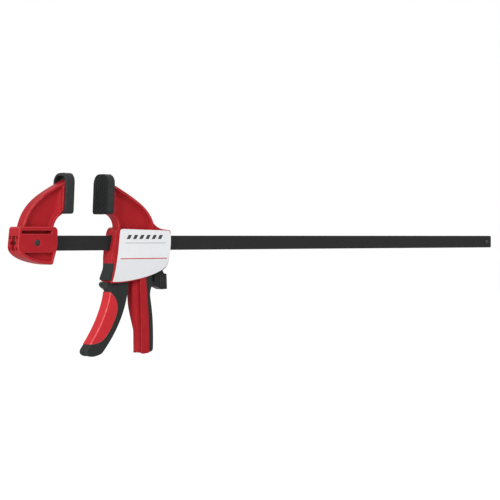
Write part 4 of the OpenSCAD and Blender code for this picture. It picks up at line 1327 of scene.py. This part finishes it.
def camera_white(tree, strength):
    """1 for rays from the camera, from glossy surfaces or through glass, times a strength."""
    path = tree.nodes.new("ShaderNodeLightPath")
    seen = calc(tree, "MAXIMUM", path.outputs["Is Camera Ray"], path.outputs["Is Glossy Ray"])
    seen = calc(tree, "MAXIMUM", seen, path.outputs["Is Transmission Ray"])
    return calc(tree, "MULTIPLY", seen, strength)


WORLD_LIGHT = 0.4
world = bpy.data.worlds.new("studio")
scene.world = world
world.use_nodes = True
tree = world.node_tree
strength = calc(tree, "ADD", camera_white(tree, 1 - WORLD_LIGHT), WORLD_LIGHT)
fill(tree, node_of(tree, "BACKGROUND"), {"Color": (1, 1, 1, 1), "Strength": strength})

# %% Floor
FLOOR_REACH, FLOOR_DROP, FLOOR_GLOW, FLOOR_SHARE = 12.0, 12 * MM, 1.12, 0.85
FLOOR_TONE, FLOOR_ROUGH = (0.85, 0.85, 0.85, 1), 0.9
floor_z = cad_box[0].z - FLOOR_DROP
floor_corners = [(x, y, floor_z) for x, y in (
    (-FLOOR_REACH, -FLOOR_REACH), (FLOOR_REACH, -FLOOR_REACH),
    (FLOOR_REACH, FLOOR_REACH), (-FLOOR_REACH, FLOOR_REACH))]
floor_mesh = bpy.data.meshes.new("floor")
floor_mesh.from_pydata(floor_corners, [], [(0, 1, 2, 3)])
floor = show("floor", floor_mesh)
paper, tree, shader = start_material("pale floor", FLOOR_TONE)
fill(tree, shader, {"Base Color": FLOOR_TONE, "Roughness": FLOOR_ROUGH})
glow = add_node(tree, "ShaderNodeEmission", {"Strength": FLOOR_GLOW})
mixed = add_node(tree, "ShaderNodeMixShader", {
    0: camera_white(tree, FLOOR_SHARE), 1: shader.outputs[0], 2: glow.outputs[0]})
fill(tree, node_of(tree, "OUTPUT_MATERIAL"), {"Surface": mixed.outputs[0]})
floor_mesh.materials.append(paper)


# %% Lamps
JAWS_AT = Vector((0.05, 0, -0.08))


def lamp(name, away, size, power):
    """A round lamp that looks at the jaws from a distance."""
    light = bpy.data.lights.new(name, "AREA")
    light.shape, light.size, light.energy = "DISK", size, power
    made = show(name, light)
    made.location = JAWS_AT + Vector(away)
    made.rotation_euler = (JAWS_AT - made.location).to_track_quat("-Z", "Y").to_euler()


lamp("key", away=(0.6, -1.5, 1.6), size=0.9, power=15.5)
lamp("side", away=(-1.9, -0.8, 0.7), size=1.1, power=33)
lamp("back", away=(1.2, 1.5, 1.3), size=1.2, power=15)

# %% Camera
LENS, SENSOR, CAMERA_AT = 99.1, 36.0, (-1.0371, -1.6281, -0.0601)
turn, dip = math.radians(40), math.radians(0.554)
camera = show("camera", bpy.data.cameras.new("camera"))
camera.data.lens, camera.data.sensor_width = LENS, SENSOR
camera.location = CAMERA_AT
forward = Vector((math.sin(turn) * math.cos(dip), math.cos(turn) * math.cos(dip), -math.sin(dip)))
camera.rotation_euler = forward.to_track_quat("-Z", "Y").to_euler()
scene.camera = camera

# %% Count of pieces
print("pieces:", len(PIECES))
